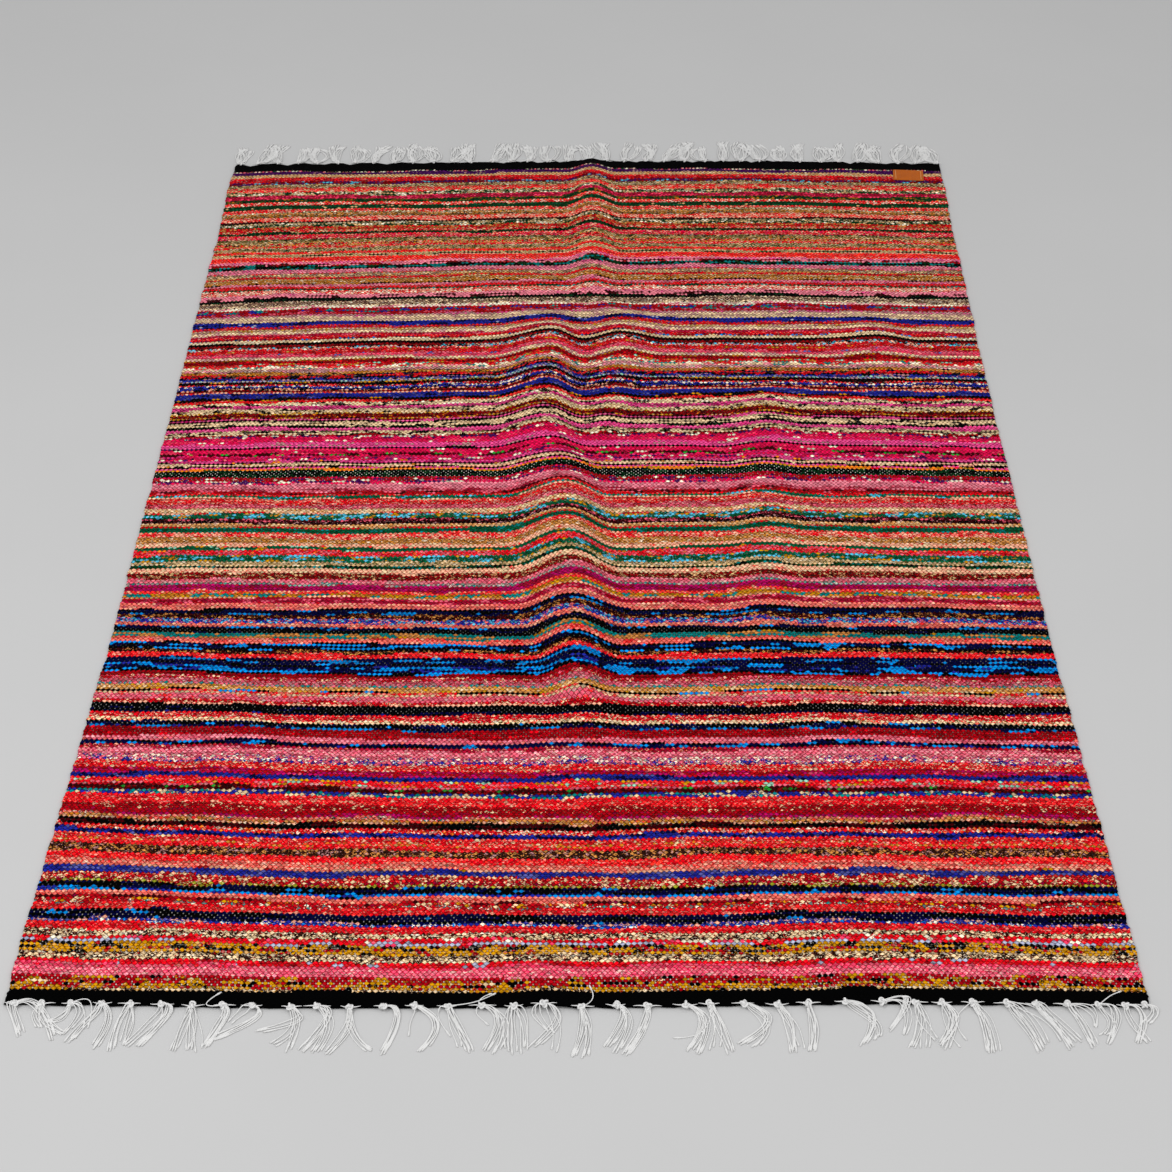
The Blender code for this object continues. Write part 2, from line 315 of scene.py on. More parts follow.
# The stripes from the near end on: how far each reaches, in millimetres of the chart from the line y = -1 m,
# its main yarn, the second yarn and its share, an accent and how often it shows, how speckled it is, from 0
# for long runs of one colour to 1 for a colour at every bead, and how plainly the white warp shows.
STRIPE_FIELDS = "until main second share accent rate speckle warp"
Stripe = namedtuple("Stripe", STRIPE_FIELDS, defaults=("", 0.0, "", 0.0, 0.6, 0.05))
STRIPES = rows_of(Stripe, """
18 black - 0 - 0 .6 0
20 beige brown .45 mustard .2 1
26 mustard crimson .42 black .18 .5 1
31 crimson mustard .42 black .25 .35 .8
34 crimson mustard .35 beige .2 .5 .9
38 crimson mustard .4 black .15 .4 .9
50 rose blush .3 pink .3 .8
55 pink rose .4 red .15
61 red crimson .25 grey .2 .3
72 beige brown .5 crimson .12 1
78 mustard black .28 crimson .25 .5 .6
87 mustard black .45 crimson .25 .45 .6
92 grey red .45 pink .2 .3
97 red pink .3 cream .25 .4
106 beige brown .5 crimson .12 1
117 red coral .4 crimson .2
120 royal cream .3 azure .15 .8
123 royal peach .45 lavender .3 .9
137 navy black .45 azure .08 .1 .4
147 red coral .45 peach .15
151 crimson teal .3 cream .15 .8
155 crimson mustard .25 beige .15
158 maroon crimson .4 plum .2 .4
167 salmon coral .25 peach .25
171 azure royal .4 black .15 .4 .1
181 black navy .45 azure .16 .2 .1
185 crimson lime .42 beige .25 .9
188 crimson beige .3 plum .3 .8
198 crimson beige .35 coral .25 .9
207 royal lavender .4 - 0 .5
209 peach crimson .35 mustard .2 .3
219 salmon peach .3 coral .25 .8
229 red neon .35 salmon .1
241 brown camel .35 mauve .2 1
247 red coral .35
251 coral ochre .4 beige .15 .7
260 red coral .4 beige .18 .7
268 royal navy .45 lavender .1 .5
276 red cream .22 orange .15 .8
285 maroon black .5 - 0 .3
288 peach black .4 mustard .3 .9
292 camel ochre .4 coral .3
296 salmon teal .22 black .2 1
300 magenta crimson .45
306 crimson deep .4 plum .2 .7
316 crimson deep .35 beige .15 .8
332 red coral .4 peach .12
340 royal beige .4 teal .3 .5
344 maroon deep .4
348 maroon crimson .35 green .2 .5
351 rose red .4 mauve .2
355 red mint .25 mustard .2 .5
358 red rose .35
361 red mustard .35 mint .25 .5
369 royal navy .35 lavender .15 .5
378 crimson magenta .45 rose .1
390 red coral .35 beige .2 .8
395 royal rose .45 cream .25 1
403 rose royal .3 cream .3 .9
416 rose blush .4 crimson .1 .8
421 wine crimson .35 peach .2 .8
423 black navy .3
427 navy azure .45 royal .1 .3 .1
430 navy black .4 azure .25 .2 .1
439 rose blush .4 salmon .15
455 deep crimson .5 red .15 .4 .2
459 navy azure .48 royal .1 .3 .1
467 black navy .4 azure .12 .15 .4
473 beige coral .35 olive .2 1
485 red crimson .4 beige .15 .8
489 navy black .4 royal .2 .2
502 black navy .12 - 0 .1 .3
505 peach crimson .45
511 crimson red .35 beige .2 .8
521 rose mauve .25 coral .15
526 beige coral .35 salmon .2 .7
528 red salmon .4
531 black azure .25 - 0 .1 .1
541 camel mustard .35 beige .25
545 teal rose .45 mauve .2 1
553 rose crimson .3 mauve .25 .8
560 crimson rose .35 beige .15 .8
566 deep crimson .45
572 black azure .4 navy .2 .2 .1
584 navy azure .45 royal .2 .15 .1
588 black navy .45 - 0 .3 .1
594 navy azure .38 - 0 .25 .2
598 navy azure .35 black .2 .15 .1
608 red coral .45 peach .12
614 maroon camel .35 black .35 1
618 azure black .6 - 0 .3 .1
621 black navy .4
626 azure navy .5 black .15 .1 .1
628 black
637 salmon coral .35 peach .15
647 teal camel .42 mustard .15 .1 .2
656 black navy .15 - 0 .1 .2
660 navy azure .3 black .2 .3
668 salmon peach .4 coral .15
678 royal salmon .34 sky .28 1
688 maroon black .4 camel .3 1
692 navy azure .45 - 0 .2 .1
700 navy black .45 azure .06 .2
713 salmon peach .3 rose .2
725 wine rose .4 crimson .3 .5
728 peach camel .4
735 ochre teal .45 mustard .3 .3
742 coral peach .3 mustard .2
755 magenta wine .45 plum .2 .3
759 mauve teal .48 mint .2 .9
769 rose mauve .3 blush .2
782 deep tan .3 brown .3 .9
794 peach beige .4 coral .12
799 forest black .35 teal .2
809 tan olive .3 beige .25 1
823 emerald sky .35 mustard .2 .5 .3
836 red rose .4 orange .1
843 emerald mint .2 mustard .15 .4
852 peach coral .25 beige .3
865 camel ochre .4 brown .15 1
871 red peach .4 - 0 .9
878 coral peach .4 red .25 .7
889 emerald teal .3 forest .2
891 red crimson .3
899 camel tan .35 beige .2 .8
905 black maroon .45 mauve .2 1
911 maroon rose .4 black .15 .9
916 emerald sky .38 mustard .2 .5
923 sky emerald .5 mustard .3 .5
926 red peach .45
936 beige camel .4 peach .2 .8
947 rose crimson .35 black .05 .8
960 red peach .25 coral .25 .8
963 peach beige .4
968 emerald teal .25 sky .2
973 red crimson .3
979 crimson maroon .35 rose .2 .4
986 rose wine .4 blush .3 .4
999 blush rose .15 - 0 .4
1006 fuchsia purple .4 cream .2 .45 .4
1012 crimson purple .35 cream .2 .45 .6
1015 crimson fuchsia .4
1031 black forest .4 - 0 .6 1
1035 orange mustard .35 red .1 .3
1038 orchid hot .3
1042 black beige .12
1048 beige peach .35 ochre .15 .5
1051 black orchid .2
1057 orchid magenta .3 orange .15 .3
1063 fuchsia purple .28 cream .2 .5
1068 fuchsia hot .45
1074 maroon fuchsia .35 green .2 .5
1087 fuchsia pink .3 cream .12 .4
1091 black purple .1
1104 orchid mauve .25 - 0 .3
1110 fuchsia hot .3 cream .2 .5
1117 fuchsia pink .35 - 0 .3
1123 fuchsia purple .4 cream .22 .5
1128 crimson black .35 cream .2
1130 beige black .3 - 0 .5
1138 beige black .42 olive .2 .5
1148 orchid hot .3
1153 black forest .2 beige .15
1165 beige black .34 tan .12 .5
1168 black beige .1
1172 orchid magenta .3
1175 black deep .35
1178 mustard deep .5 - 0 .8
1187 deep maroon .45 orange .1 .7
1191 mustard beige .4 black .25 .9
1201 beige black .36 tan .2 .5
1209 orchid magenta .45
1219 beige black .38 cream .15 .5
1225 red neon .3 deep .15
1232 black maroon .35 mustard .25 .4
1244 royal lavender .25 navy .15 .4
1248 peach red .45 - 0 .9
1253 deep maroon .4
1258 black peach .4 - 0 1
1262 royal black .4 - 0 .8
1266 royal cream .4 - 0 1
1270 red black .45 - 0 .9
1277 black maroon .4 red .1 .4
1279 mustard black .45
1283 lavender mint .35 mauve .3 .7
1288 royal mauve .3 black .3
1291 black red .3
1298 red navy .35 black .3 .5
1306 ochre black .3 camel .3
1313 mauve blush .4 cream .15
1318 beige teal .3 blush .35 .5
1323 red cream .45 teal .3 .5
1329 red mustard .3 mint .2 .5
1337 deep red .35 maroon .2
1340 deep ochre .45
1348 beige mauve .45
1355 pink rose .4
1359 rose wine .4 lavender .2 .4
1364 red crimson .3
1372 red crimson .3 mustard .2 .5
1376 red sky .25 cream .25 .8
1381 black peach .4 sky .3 .7
1388 deep maroon .35
1394 black maroon .2
1403 beige cream .3 tan .3
1407 crimson navy .4 azure .2
1413 red crimson .45
1419 wine rose .35
1428 beige mauve .4
1434 tan mauve .4 mustard .25
1443 red crimson .35 royal .15
1456 royal navy .35 grey .08 .4
1472 beige mauve .4
1478 mauve orchid .4
1486 crimson rose .35
1495 crimson royal .35 teal .3 .5
1498 crimson red .4
1505 cream blush .45
1509 beige brown .4 - 0 1
1523 taupe maroon .3 beige .25 1
1532 black forest .3
1540 blush maroon .4 - 0 .3
1547 blush orchid .2
1561 red peach .42 cream .3 .9
1565 forest teal .3
1573 red crimson .3
1580 blush orchid .2
1582 black ochre .4 - 0 .8
1594 ochre camel .4 brown .2 1
1597 tan camel .4
1603 red deep .35
1605 camel ochre .4
1614 taupe tan .45 - 0 .8
1616 red taupe .45
1628 blush orchid .25
1640 black forest .45 teal .4 .4
1646 blush crimson .45 maroon .3 .2
1652 blush orchid .4
1657 neon coral .4 peach .2 .8
1668 neon red .4 coral .2
1671 peach tan .4
1674 forest tan .4 - 0 .4
1678 tan olive .4 peach .2 .8
1686 neon red .5
1688 ochre peach .45
1699 tan olive .4 forest .3 .8
1706 red coral .35 peach .2 .9
1709 camel ochre .45
1714 red tan .35 brown .4 .8
1722 olive tan .45 ochre .3 .8
1728 olive black .45 tan .3 .7
1743 red fuchsia .4 peach .25 .8
1752 forest black .3 tan .12
1760 red crimson .4 tan .3 .9
1771 crimson red .45 camel .4 .9
1779 forest tan .35 cream .25
1786 tan forest .48 cream .25
1791 brown maroon .45
1806 red neon .4 peach .45 .9
1813 ochre brown .4 olive .3 .9
1820 camel brown .3 ochre .35 .9
1824 olive cream .35 tan .4 .9
1834 red coral .4 peach .3 .8
1848 forest emerald .3 tan .1 .4
1858 red neon .45 cream .25 .9
1865 forest olive .3 ochre .25 .5
1870 forest olive .35 ochre .2 .5
1883 wine pink .4
1896 forest cream .35 tan .4
1912 red coral .45 tan .3 .8
1924 tan brown .35 olive .35 1
1934 deep purple .45 sky .2 .5
1950 red crimson .4
1960 tan camel .35 mauve .08 .9
1970 purple mauve .12
1973 forest cream .4 rose .4 .9
2100 black - 0 - 0 .6 0
""")

# The weave's noises: how many cycles each has to a bead across, and to a pick along
MARL_SCALE = (2.1, 1.5)
FLECK_SCALE = (2.3, 1.3)
WIDE_FLECK_SCALE = (0.6, 0.8)
FIBRE_SCALE = (2.6, 5.0)
DYE_SCALE = (0.16, 0.8)
# the noise that places painted shade in random hollows of the weave
SHADED_HOLLOW_SCALE = (1.9, 1.2)
STORED = ("main", "second", "accent", "habit")  # what the cloth's faces store

# The camera, fitted to the photograph
PHOTO_SIDE = 1172  # pixels
FOCAL_PIXELS = 1912.6
SENSOR_MM = 36
EYE = Vector((0.0367, -2.3752, 1.961))
TURN = Matrix.Rotation(math.radians(0.793), 3, "Z") @ Matrix.Rotation(math.radians(47.46), 3, "X")
TURN = TURN @ Matrix.Rotation(math.radians(-0.54), 3, "Z")

# Fringe
THREAD = 0.66 * MM  # radius
THREAD_SIDES = 6
THREAD_SPANS = 16
CURL = 1.4 * MM
KNOT = Vector((4.1, 3.6, 3.1)) * MM  # half the size of its core
KNOT_RINGS = 9
KNOT_SIDES = 14
KNOT_POLE = 0.02  # how far the first ring is from the pole, in rings
KNOT_TURNS = 1.55 * MM  # how far out the turns of thread lie round the core
KNOT_STEPS = 24
KNOT_THREAD = 1.35 * MM
KNOT_RISE = 5.4 * MM
TICK_LONG = 17.5 * MM
TICK_SHORT = 11 * MM
TICK_THREAD = 1.15 * MM
TICK_STEPS = 5
FOOT = 9 * MM  # over how far threads come down from the cloth's end
KNOT_SLOPE = 11 * MM  # over how far they come down from the knot
FRAYED = (1.9, 1.5)  # how thick a cut end is, in threads
# Where a lock's outer threads leave the knot, are half-way and end, in millimetres off the lock's middle
ROOT = 2.4
BELLY = 3.3
BELLY_STRAY = 0.9
FAN = (3.2, 5.6)
FAN_STRAY = 1.2
LAYERS = (0, 1, 1, 2)  # how many threads a thread may lie on
FRINGE_SEED = 21
THREAD_SEED = 7
Tassel = namedtuple("Tassel", "knot drift bow reach")
NEAR_KNOTS = [  # millimetres across
    -687, -654, -618, -580, -545, -507, -469, -431, -395, -348, -316, -276, -235,
    -197, -156, -114, -75, -38, 7, 50, 88, 135, 164, 206, 247, 283,
    330, 375, 415, 447, 485, 527, 561, 599, 637, 670, 693,
]
# The near tassels' locks: which tassel, how many threads, and the photograph's pixels that each passes and
# ends at
Lock = namedtuple("Lock", "tassel threads via_x via_y tip_x tip_y")
NEAR_LOCKS = rows_of(Lock, """
1 5 13 1008 21 1037
1 5 38 1008 54 1040
2 5 36 1014 40 1028
2 4 46 1020 66 1034
3 5 60 1018 45 1022
3 3 80 1014 64 1034
3 2 88 1006 86 1030
4 5 90 1018 66 1044
4 5 108 1020 92 1050
5 5 120 1020 110 1053
5 4 130 1022 122 1046
6 7 168 1014 137 1047
6 3 152 1022 124 1046
7 4 185 1022 172 1053
7 4 192 1026 188 1052
7 2 197 1030 200 1052
8 8 224 1018 204 1048
9 7 256 1018 212 1040
9 2 242 1012 228 1024
10 4 297 1022 287 1054
10 3 298 1020 256 1032
10 3 292 1030 270 1046
11 5 328 1018 300 1052
11 5 328 1024 313 1055
12 5 346 1030 326 1055
12 5 354 1034 372 1051
13 9 398 1018 380 1056
14 8 436 1024 420 1052
14 1 412 1020 406 1040
15 6 460 1030 471 1053
15 2 454 1026 458 1048
15 1 438 1014 452 1040
16 5 498 1020 485 1052
16 4 503 1022 495 1054
16 1 478 1014 492 1028
17 4 508 1020 508 1053
17 3 516 1030 517 1056
17 3 524 1020 526 1052
18 3 536 1014 552 1034
18 4 558 1020 530 1050
18 2 556 1024 554 1053
19 5 582 1030 572 1058
19 5 588 1030 584 1060
20 5 624 1018 606 1048
20 4 629 1022 616 1054
21 9 644 1026 625 1056
22 6 702 1022 686 1053
22 4 706 1022 698 1055
23 5 720 1024 732 1054
23 3 716 1026 713 1053
23 1 704 1030 672 1038
24 6 768 1020 738 1045
24 3 766 1026 754 1047
25 6 788 1022 794 1054
25 2 794 1030 802 1050
26 9 814 1026 812 1052
27 6 872 1016 862 1046
27 4 874 1022 876 1040
28 6 906 1002 889 1032
28 3 906 1008 903 1037
29 4 920 1022 910 1049
29 3 924 1018 925 1049
29 2 924 1024 938 1040
30 6 954 1018 940 1046
30 3 952 1022 946 1050
30 1 948 1030 961 1048
31 6 984 1024 989 1054
31 3 990 1024 998 1052
31 1 956 1020 970 1043
32 6 1024 1024 1042 1053
32 3 1028 1016 1047 1046
32 2 1040 1016 1062 1040
33 6 1052 1022 1073 1049
33 3 1052 1016 1083 1044
34 6 1080 1020 1095 1048
34 3 1092 1012 1095 1030
35 5 1116 1014 1108 1045
35 4 1112 1024 1102 1036
36 7 1142 1016 1137 1045
36 3 1134 1026 1149 1043
37 5 1155 1012 1147 1024
""")
# Loose threads that lie back over the black band
STRAYS = rows_of(Lock, """
8 1 206 1004 224 991
15 1 476 1002 496 993
16 1 480 1000 494 994
19 1 592 1000 590 985
35 1 1110 996 1121 992
""")
NEAR_SPREAD = 0.8  # how wide the near locks fan out

# The far tassels, in millimetres
FAR_KNOT = 693  # how far across the last knots are
FAR_REACH = 86
KNOT_STRAY = 3  # how far a knot is from its even place at most
TASSEL_DRIFT = 9  # how far a tassel's end drifts to a side
TASSEL_BOW = 5
TASSEL_SHORT = 14  # how much shorter than FAR_REACH a tassel may be
FAR_LEAN = 16  # how far a tassel leans over at most
FAR_DRIFT = 15  # how far a lock's tip strays
FAR_BOW = 14
FAR_SPREAD = 1.2
FAR_LOCKS = 4
FAR_THREADS = 5
FAR_THREAD = 0.82 * MM
FAR_CURL = 2.6 * MM
FAR_SPANS = 12
FAR_SIDES = 5

# Patch
PATCH_SIZE = (59 * MM, 38 * MM)
PATCH_THICK = 1.5 * MM
PATCH_CORNER = 3 * MM
PATCH_GAP = 0.3 * MM
PATCH_TURN = math.radians(-4.5)
CORNER_POINTS = 6
Rim = namedtuple("Rim", "inset height")  # in millimetres, and in the patch's thickness
PATCH_RIM = rows_of(Rim, """
0.35 0
0 0.3
0 0.75
0.12 0.93
0.4 1
2.5 1.02
8 1.06
""")
STITCHES = 7
STITCH_INSET = 5.2 * MM
STITCH_MARGIN = 7 * MM
STITCH_SHARE = 0.72  # how much of each step a stitch fills
STITCH_STEPS = 6
STITCH_THREAD = 0.6 * MM
STITCH_ARCH = 0.35 * MM

# Studio
FLOOR_REACH = 14
FLOOR_DROP = 0.4 * MM
SKY_LIGHT = 0.6
CLIP = (0.05, 60)
Lamp = namedtuple("Lamp", "name place size power")
LAMPS = [
    Lamp("window", (-1.6, -1.4, 3.0), 1.8, 35),
    Lamp("fill", (1.8, -1.8, 3.0), 2.6, 24),
]


# Small helpers


def linear(colour):
    """A colour out of 255 as the renderer wants it."""
    parts = [c / 255 for c in colour]
    return [p / 12.92 if p <= 0.04045 else ((p + 0.055) / 1.055) ** 2.4 for p in parts]


def opaque(colour):
    return (*linear(colour), 1)


def eased(share):
    """A share from 0 to 1 with a soft start and end."""
    return share * share * (3 - 2 * share)


def between(rows, key, at, field, soft=True):
    """One field's value at each place, from the rows on each side of it."""
    keys = np.array([getattr(row, key) for row in rows])
    values = np.array([getattr(row, field) for row in rows])
    at = np.clip(at, keys[0], keys[-1])
    low = np.clip(np.searchsorted(keys, at, side="right") - 1, 0, len(keys) - 2)
    share = (at - keys[low]) / (keys[low + 1] - keys[low])
    if soft:
        share = eased(share)
    return values[low] + share * (values[low + 1] - values[low])


def lift(x, y):
    """How far the underside of the cloth is off the floor."""
    total = np.zeros(np.broadcast(x, y).shape)
    for sections in RIDGES.values():
        off = x - between(sections, "along", y, "across")
        left = between(sections, "along", y, "left", soft=False)
        right = between(sections, "along", y, "right", soft=False)
        off = np.abs(off) / np.where(off < 0, left, right)
        inside = (off < 1) & (y > sections[0].along) & (y < sections[-1].along)
        height = between(sections, "along", y, "height")
        total += np.where(inside, height * (0.5 + 0.5 * np.cos(np.pi * off)), 0)
    return total


def lean(x, y):
    """The direction square to the cloth, as three arrays."""
    step = 2 * MM
    across = (lift(x + step, y) - lift(x - step, y)) / (2 * step)
    along = (lift(x, y + step) - lift(x, y - step)) / (2 * step)
    size = np.sqrt(across**2 + along**2 + 1)
    return -across / size, -along / size, 1 / size


def edge(x, end):
    return between(ENDS, "across", x, end)


def cloth_top(x, y):
    return float(lift(np.float64(x), np.float64(y))) + CLOTH_THICK


def seen_at(px, py, z=0.0):
    """The point at height z that shows at a pixel of the photograph."""
    half = PHOTO_SIDE / 2
    ray = TURN @ Vector(((px - half) / FOCAL_PIXELS, (half - py) / FOCAL_PIXELS, -1))
    return EYE + ray * ((z - EYE.z) / ray.z)


def add_piece(name, verts, faces, material, slot, *nodes):
    """A smooth mesh in the rug's coordinates becomes a piece on the body that stands for its nodes."""
    mesh = bpy.data.meshes.new(name)
    mesh.from_pydata(verts, [], faces)
    mesh.transform(Matrix.Translation(SHIFT))
    mesh.shade_smooth()
    mesh.materials.append(material)
    piece = bpy.data.objects.new(name, mesh)
    bpy.context.scene.collection.objects.link(piece)
    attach(piece, "root")
    if nodes:
        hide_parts(*nodes)
    return piece


# Materials


class Wire:
    """A number in a material's node tree. Arithmetic on it adds Math nodes."""

    def __init__(self, tree, socket):
        self.tree = tree
        self.socket = socket

    def math(self, operation, *others):
        node = self.tree.nodes.new("ShaderNodeMath")
        node.operation = operation
        for slot, value in zip(node.inputs, (self, *others)):
            plug(self.tree, value, slot)
        return Wire(self.tree, node.outputs[0])

    def __add__(self, other):
        return self.math("ADD", other)

    def __sub__(self, other):
        return self.math("SUBTRACT", other)

    def __mul__(self, other):
        return self.math("MULTIPLY", other)

    def __truediv__(self, other):
        return self.math("DIVIDE", other)

    def __pow__(self, other):
        return self.math("POWER", other)

    def less(self, other):
        return self.math("LESS_THAN", other)

    def flipped(self):
        """One minus the number."""
        return self * -1 + 1

    def spread(self, low, high):
        """0 below low, 1 above high, and smooth between."""
        node = self.tree.nodes.new("ShaderNodeMapRange")
        node.interpolation_type = "SMOOTHSTEP"
        plug(self.tree, self, node.inputs["Value"])
        node.inputs["From Min"].default_value = low
        node.inputs["From Max"].default_value = high
        return Wire(self.tree, node.outputs[0])


def plug(tree, value, slot):
    """A wire or an output is linked to the slot, and a plain number or colour is set on it."""
    if isinstance(value, Wire):
        value = value.socket
    if isinstance(value, bpy.types.NodeSocket):
        tree.links.new(value, slot)
    else:
        slot.default_value = value


def blend(tree, share, first, second, kind="MIX"):
    """A colour between two colours."""
    node = tree.nodes.new("ShaderNodeMix")
    node.data_type = "RGBA"
    node.blend_type = kind
    plug(tree, share, node.inputs[0])
    plug(tree, first, node.inputs[6])
    plug(tree, second, node.inputs[7])
    return node.outputs[2]


def place(tree, x, y, z=0.0):
    node = tree.nodes.new("ShaderNodeCombineXYZ")
    for slot, value in zip(node.inputs, (x, y, z)):
        plug(tree, value, slot)
    return node.outputs[0]


def noise(tree, at, scale, detail):
    node = tree.nodes.new("ShaderNodeTexNoise")
    plug(tree, at, node.inputs["Vector"])
    node.inputs["Scale"].default_value = scale
    node.inputs["Detail"].default_value = detail
    return Wire(tree, node.outputs[0])


def weave_noise(tree, across, along, scale, layer, detail=2.0):
    """Noise over the weave, with a scale for each way. Every layer is a noise of its own."""
    return noise(tree, place(tree, across * scale[0], along * scale[1], layer), 1.0, detail)


def chance(tree, at):
    """A random number for each whole place."""
    node = tree.nodes.new("ShaderNodeTexWhiteNoise")
    node.noise_dimensions = "3D"
    plug(tree, at, node.inputs["Vector"])
    return Wire(tree, node.outputs["Value"])


def map_of(tree, name):
    """The two coordinates of a UV map."""
    node = tree.nodes.new("ShaderNodeUVMap")
    node.uv_map = name
    split = tree.nodes.new("ShaderNodeSeparateXYZ")
    tree.links.new(node.outputs[0], split.inputs[0])
    return Wire(tree, split.outputs[0]), Wire(tree, split.outputs[1])


def attribute(tree, name):
    """A colour stored on the mesh, and its fourth number."""
    node = tree.nodes.new("ShaderNodeAttribute")
    node.attribute_name = name
    return node.outputs["Color"], Wire(tree, node.outputs["Alpha"])


def new_material(name, roughness, specular):
    made = bpy.data.materials.new(name)
    made.use_nodes = True
    tree = made.node_tree
    shader = tree.nodes["Principled BSDF"]
    shader.inputs["Specular IOR Level"].default_value = specular
    plug(tree, roughness, shader.inputs["Roughness"])
    return made, tree, shader


def add_bump(tree, shader, height, distance):
    node = tree.nodes.new("ShaderNodeBump")
    node.inputs["Strength"].default_value = 1.0
    node.inputs["Distance"].default_value = distance
    plug(tree, height, node.inputs["Height"])
    tree.links.new(node.outputs[0], shader.inputs["Normal"])


def split_beads(u, v):
    """The weave's bricks: which bead of which pick shows, whether that pick is above the nearest border, and
    how far along the bead and over the pick the place is."""
    # The border between two picks waves, because each bead presses in between two of the next pick.
    wave = (u * (2 * math.pi)).math("COSINE") * BEAD_WAVE
    border = v.math("ROUND")
    side = border.math("FLOORED_MODULO", 2.0) * -2 + 1
    upper = (border + side * wave).less(v)
    pick = border + upper - 1
    odd = pick.math("FLOORED_MODULO", 2.0)
    bulge = (odd * -2 + 1) * wave
    along_bead = (u + odd * 0.5).math("FRACT")
    bead = (u + odd * 0.5).math("FLOOR")
    over_pick = (v - pick - bulge) / (bulge * -2 + 1)
    return bead, pick, upper, along_bead, over_pick


def read_yarns(tree, upper):
    """What is stored for the pick that shows: each yarn's colour with its share, and the stripe's habits."""
    stored = {}
    for name in STORED:
        low, low_share = attribute(tree, "low_" + name)
        high, high_share = attribute(tree, "high_" + name)
        stored[name] = blend(tree, upper, low, high), low_share + (high_share - low_share) * upper
    split = tree.nodes.new("ShaderNodeSeparateColor")
    tree.links.new(stored.pop("habit")[0], split.inputs[0])
    return stored, [Wire(tree, output) for output in split.outputs]


def yarn_colour(tree, u, v, bead, pick, stored, speckle):
    """Long runs come from how the rag was dyed, and marl from the twist of a patterned rag."""
    colour = stored["main"][0]
    marled = speckle.spread(0.25, 1.0)
    narrowing = (marled * marled + marled.flipped() * marled.flipped()).math("SQRT")
    for step, key, other in ((0, "main", "second"), (1, "second", "accent")):
        marl = weave_noise(tree, u, v, MARL_SCALE, 1.0 + 20 * step, 2.5) * 3.0 - 1.0
        marl = marl * 0.7 + chance(tree, place(tree, bead, pick, 0.5 + 7 * step)) * 0.6 - 0.15
        run_scale = (speckle * 0.4 + 0.05 + 0.04 * step, 0.7)
        runs = weave_noise(tree, bead, pick, run_scale, 3.0 + 8 * step) * 2.8 - 0.9
        pull = (runs + (marl - runs) * marled - 0.5) / narrowing + 0.5
        colour = blend(tree, pull.less(stored[key][1]), colour, stored[other][0])
    return colour


def weave_material():
    """Rag picks over and under pairs of warps: beads in a brick pattern, each of its pick's yarns."""
    made, tree, shader = new_material("woven_rag", 0.9, 0.03)
    u, v = map_of(tree, "weave")
    bead, pick, upper, along_bead, over_pick = split_beads(u, v)
    stored, (speckle, warp, fluffy) = read_yarns(tree, upper)
    colour = yarn_colour(tree, u, v, bead, pick, stored, speckle)
    pale = weave_noise(tree, u, v, FLECK_SCALE, 61.0).spread(0.61, 0.65)
    wide_pale = weave_noise(tree, u, v, WIDE_FLECK_SCALE, 67.0).spread(0.62, 0.65)
    pale = pale.math("MAXIMUM", wide_pale)
    colour = blend(tree, pale * fluffy * 0.8, colour, opaque(YARNS["cream"]))

    # In the dips between beads the light comes off the same yarn, so its colour is deeper there.
    round_over = ((over_pick * 2 - 1) ** 2.0).flipped()
    round_along = (((along_bead * 2 - 1).math("ABSOLUTE")) ** 3.0).flipped()
    height = (round_over * round_along).math("MAXIMUM", 0.0)
    deeper = blend(tree, 1.0, colour, colour, "MULTIPLY")
    colour = blend(tree, height.spread(0.0, 0.9).flipped() * 0.8, colour, deeper)

    # Each bead and pick differs a little, fine fibres run along them, and the dye is uneven. Painted shade
    # darkens the dips between beads and some random hollows.
    fibres = weave_noise(tree, u, v, FIBRE_SCALE, 0.0, 3.0)
    dye = weave_noise(tree, bead, pick, DYE_SCALE, 41.0)
    # random hollows, where painted shade darkens the colour
    shaded_hollow = weave_noise(tree, u, v, SHADED_HOLLOW_SCALE, 73.0).spread(0.55, 0.68)
    of_bead = chance(tree, place(tree, bead, pick, 2.5))
    of_pick = chance(tree, place(tree, 0.5, pick, 9.5))
    tone_and_shade = of_bead * 0.6 + of_pick * 0.5 + (fibres - 0.5) * 2.2 + (dye - 0.5) * 1.0 + 0.58
    # painted shade: darker in the dips between beads, and in the random hollows
    tone_and_shade = tone_and_shade * (height.spread(0.0, 0.65) * 0.6 + 0.4) * (shaded_hollow * -0.7 + 1)
    tone_and_shade = tone_and_shade.math("MAXIMUM", 0.02)
    colour = blend(tree, 1.0, colour, place(tree, tone_and_shade, tone_and_shade, tone_and_shade), "MULTIPLY")
    colour = blend(tree, bare_warp(tree, u, v) * warp, colour, opaque(WARP_WHITE))
    plug(tree, colour, shader.inputs["Base Color"])
    add_bump(tree, shader, height.math("SQRT") + fibres * 0.35, 0.9 * MM)
    plug(tree, fibres * 0.2 + 0.78, shader.inputs["Roughness"])
    return made


def bare_warp(tree, u, v):
    """Where white warp can show, in the joint between two beads of a pick, and how plainly."""
    row = v.math("FLOOR")
    shifted = u + row.math("FLOORED_MODULO", 2.0) * 0.5
    joint = (shifted.math("FRACT") - 0.5).math("ABSOLUTE").spread(0.39, 0.43)
    joint = joint * (v - row - 0.5).math("ABSOLUTE").spread(0.14, 0.34).flipped()
    return joint * chance(tree, place(tree, shifted.math("ROUND"), row, 5.5)).spread(0.1, 0.9)


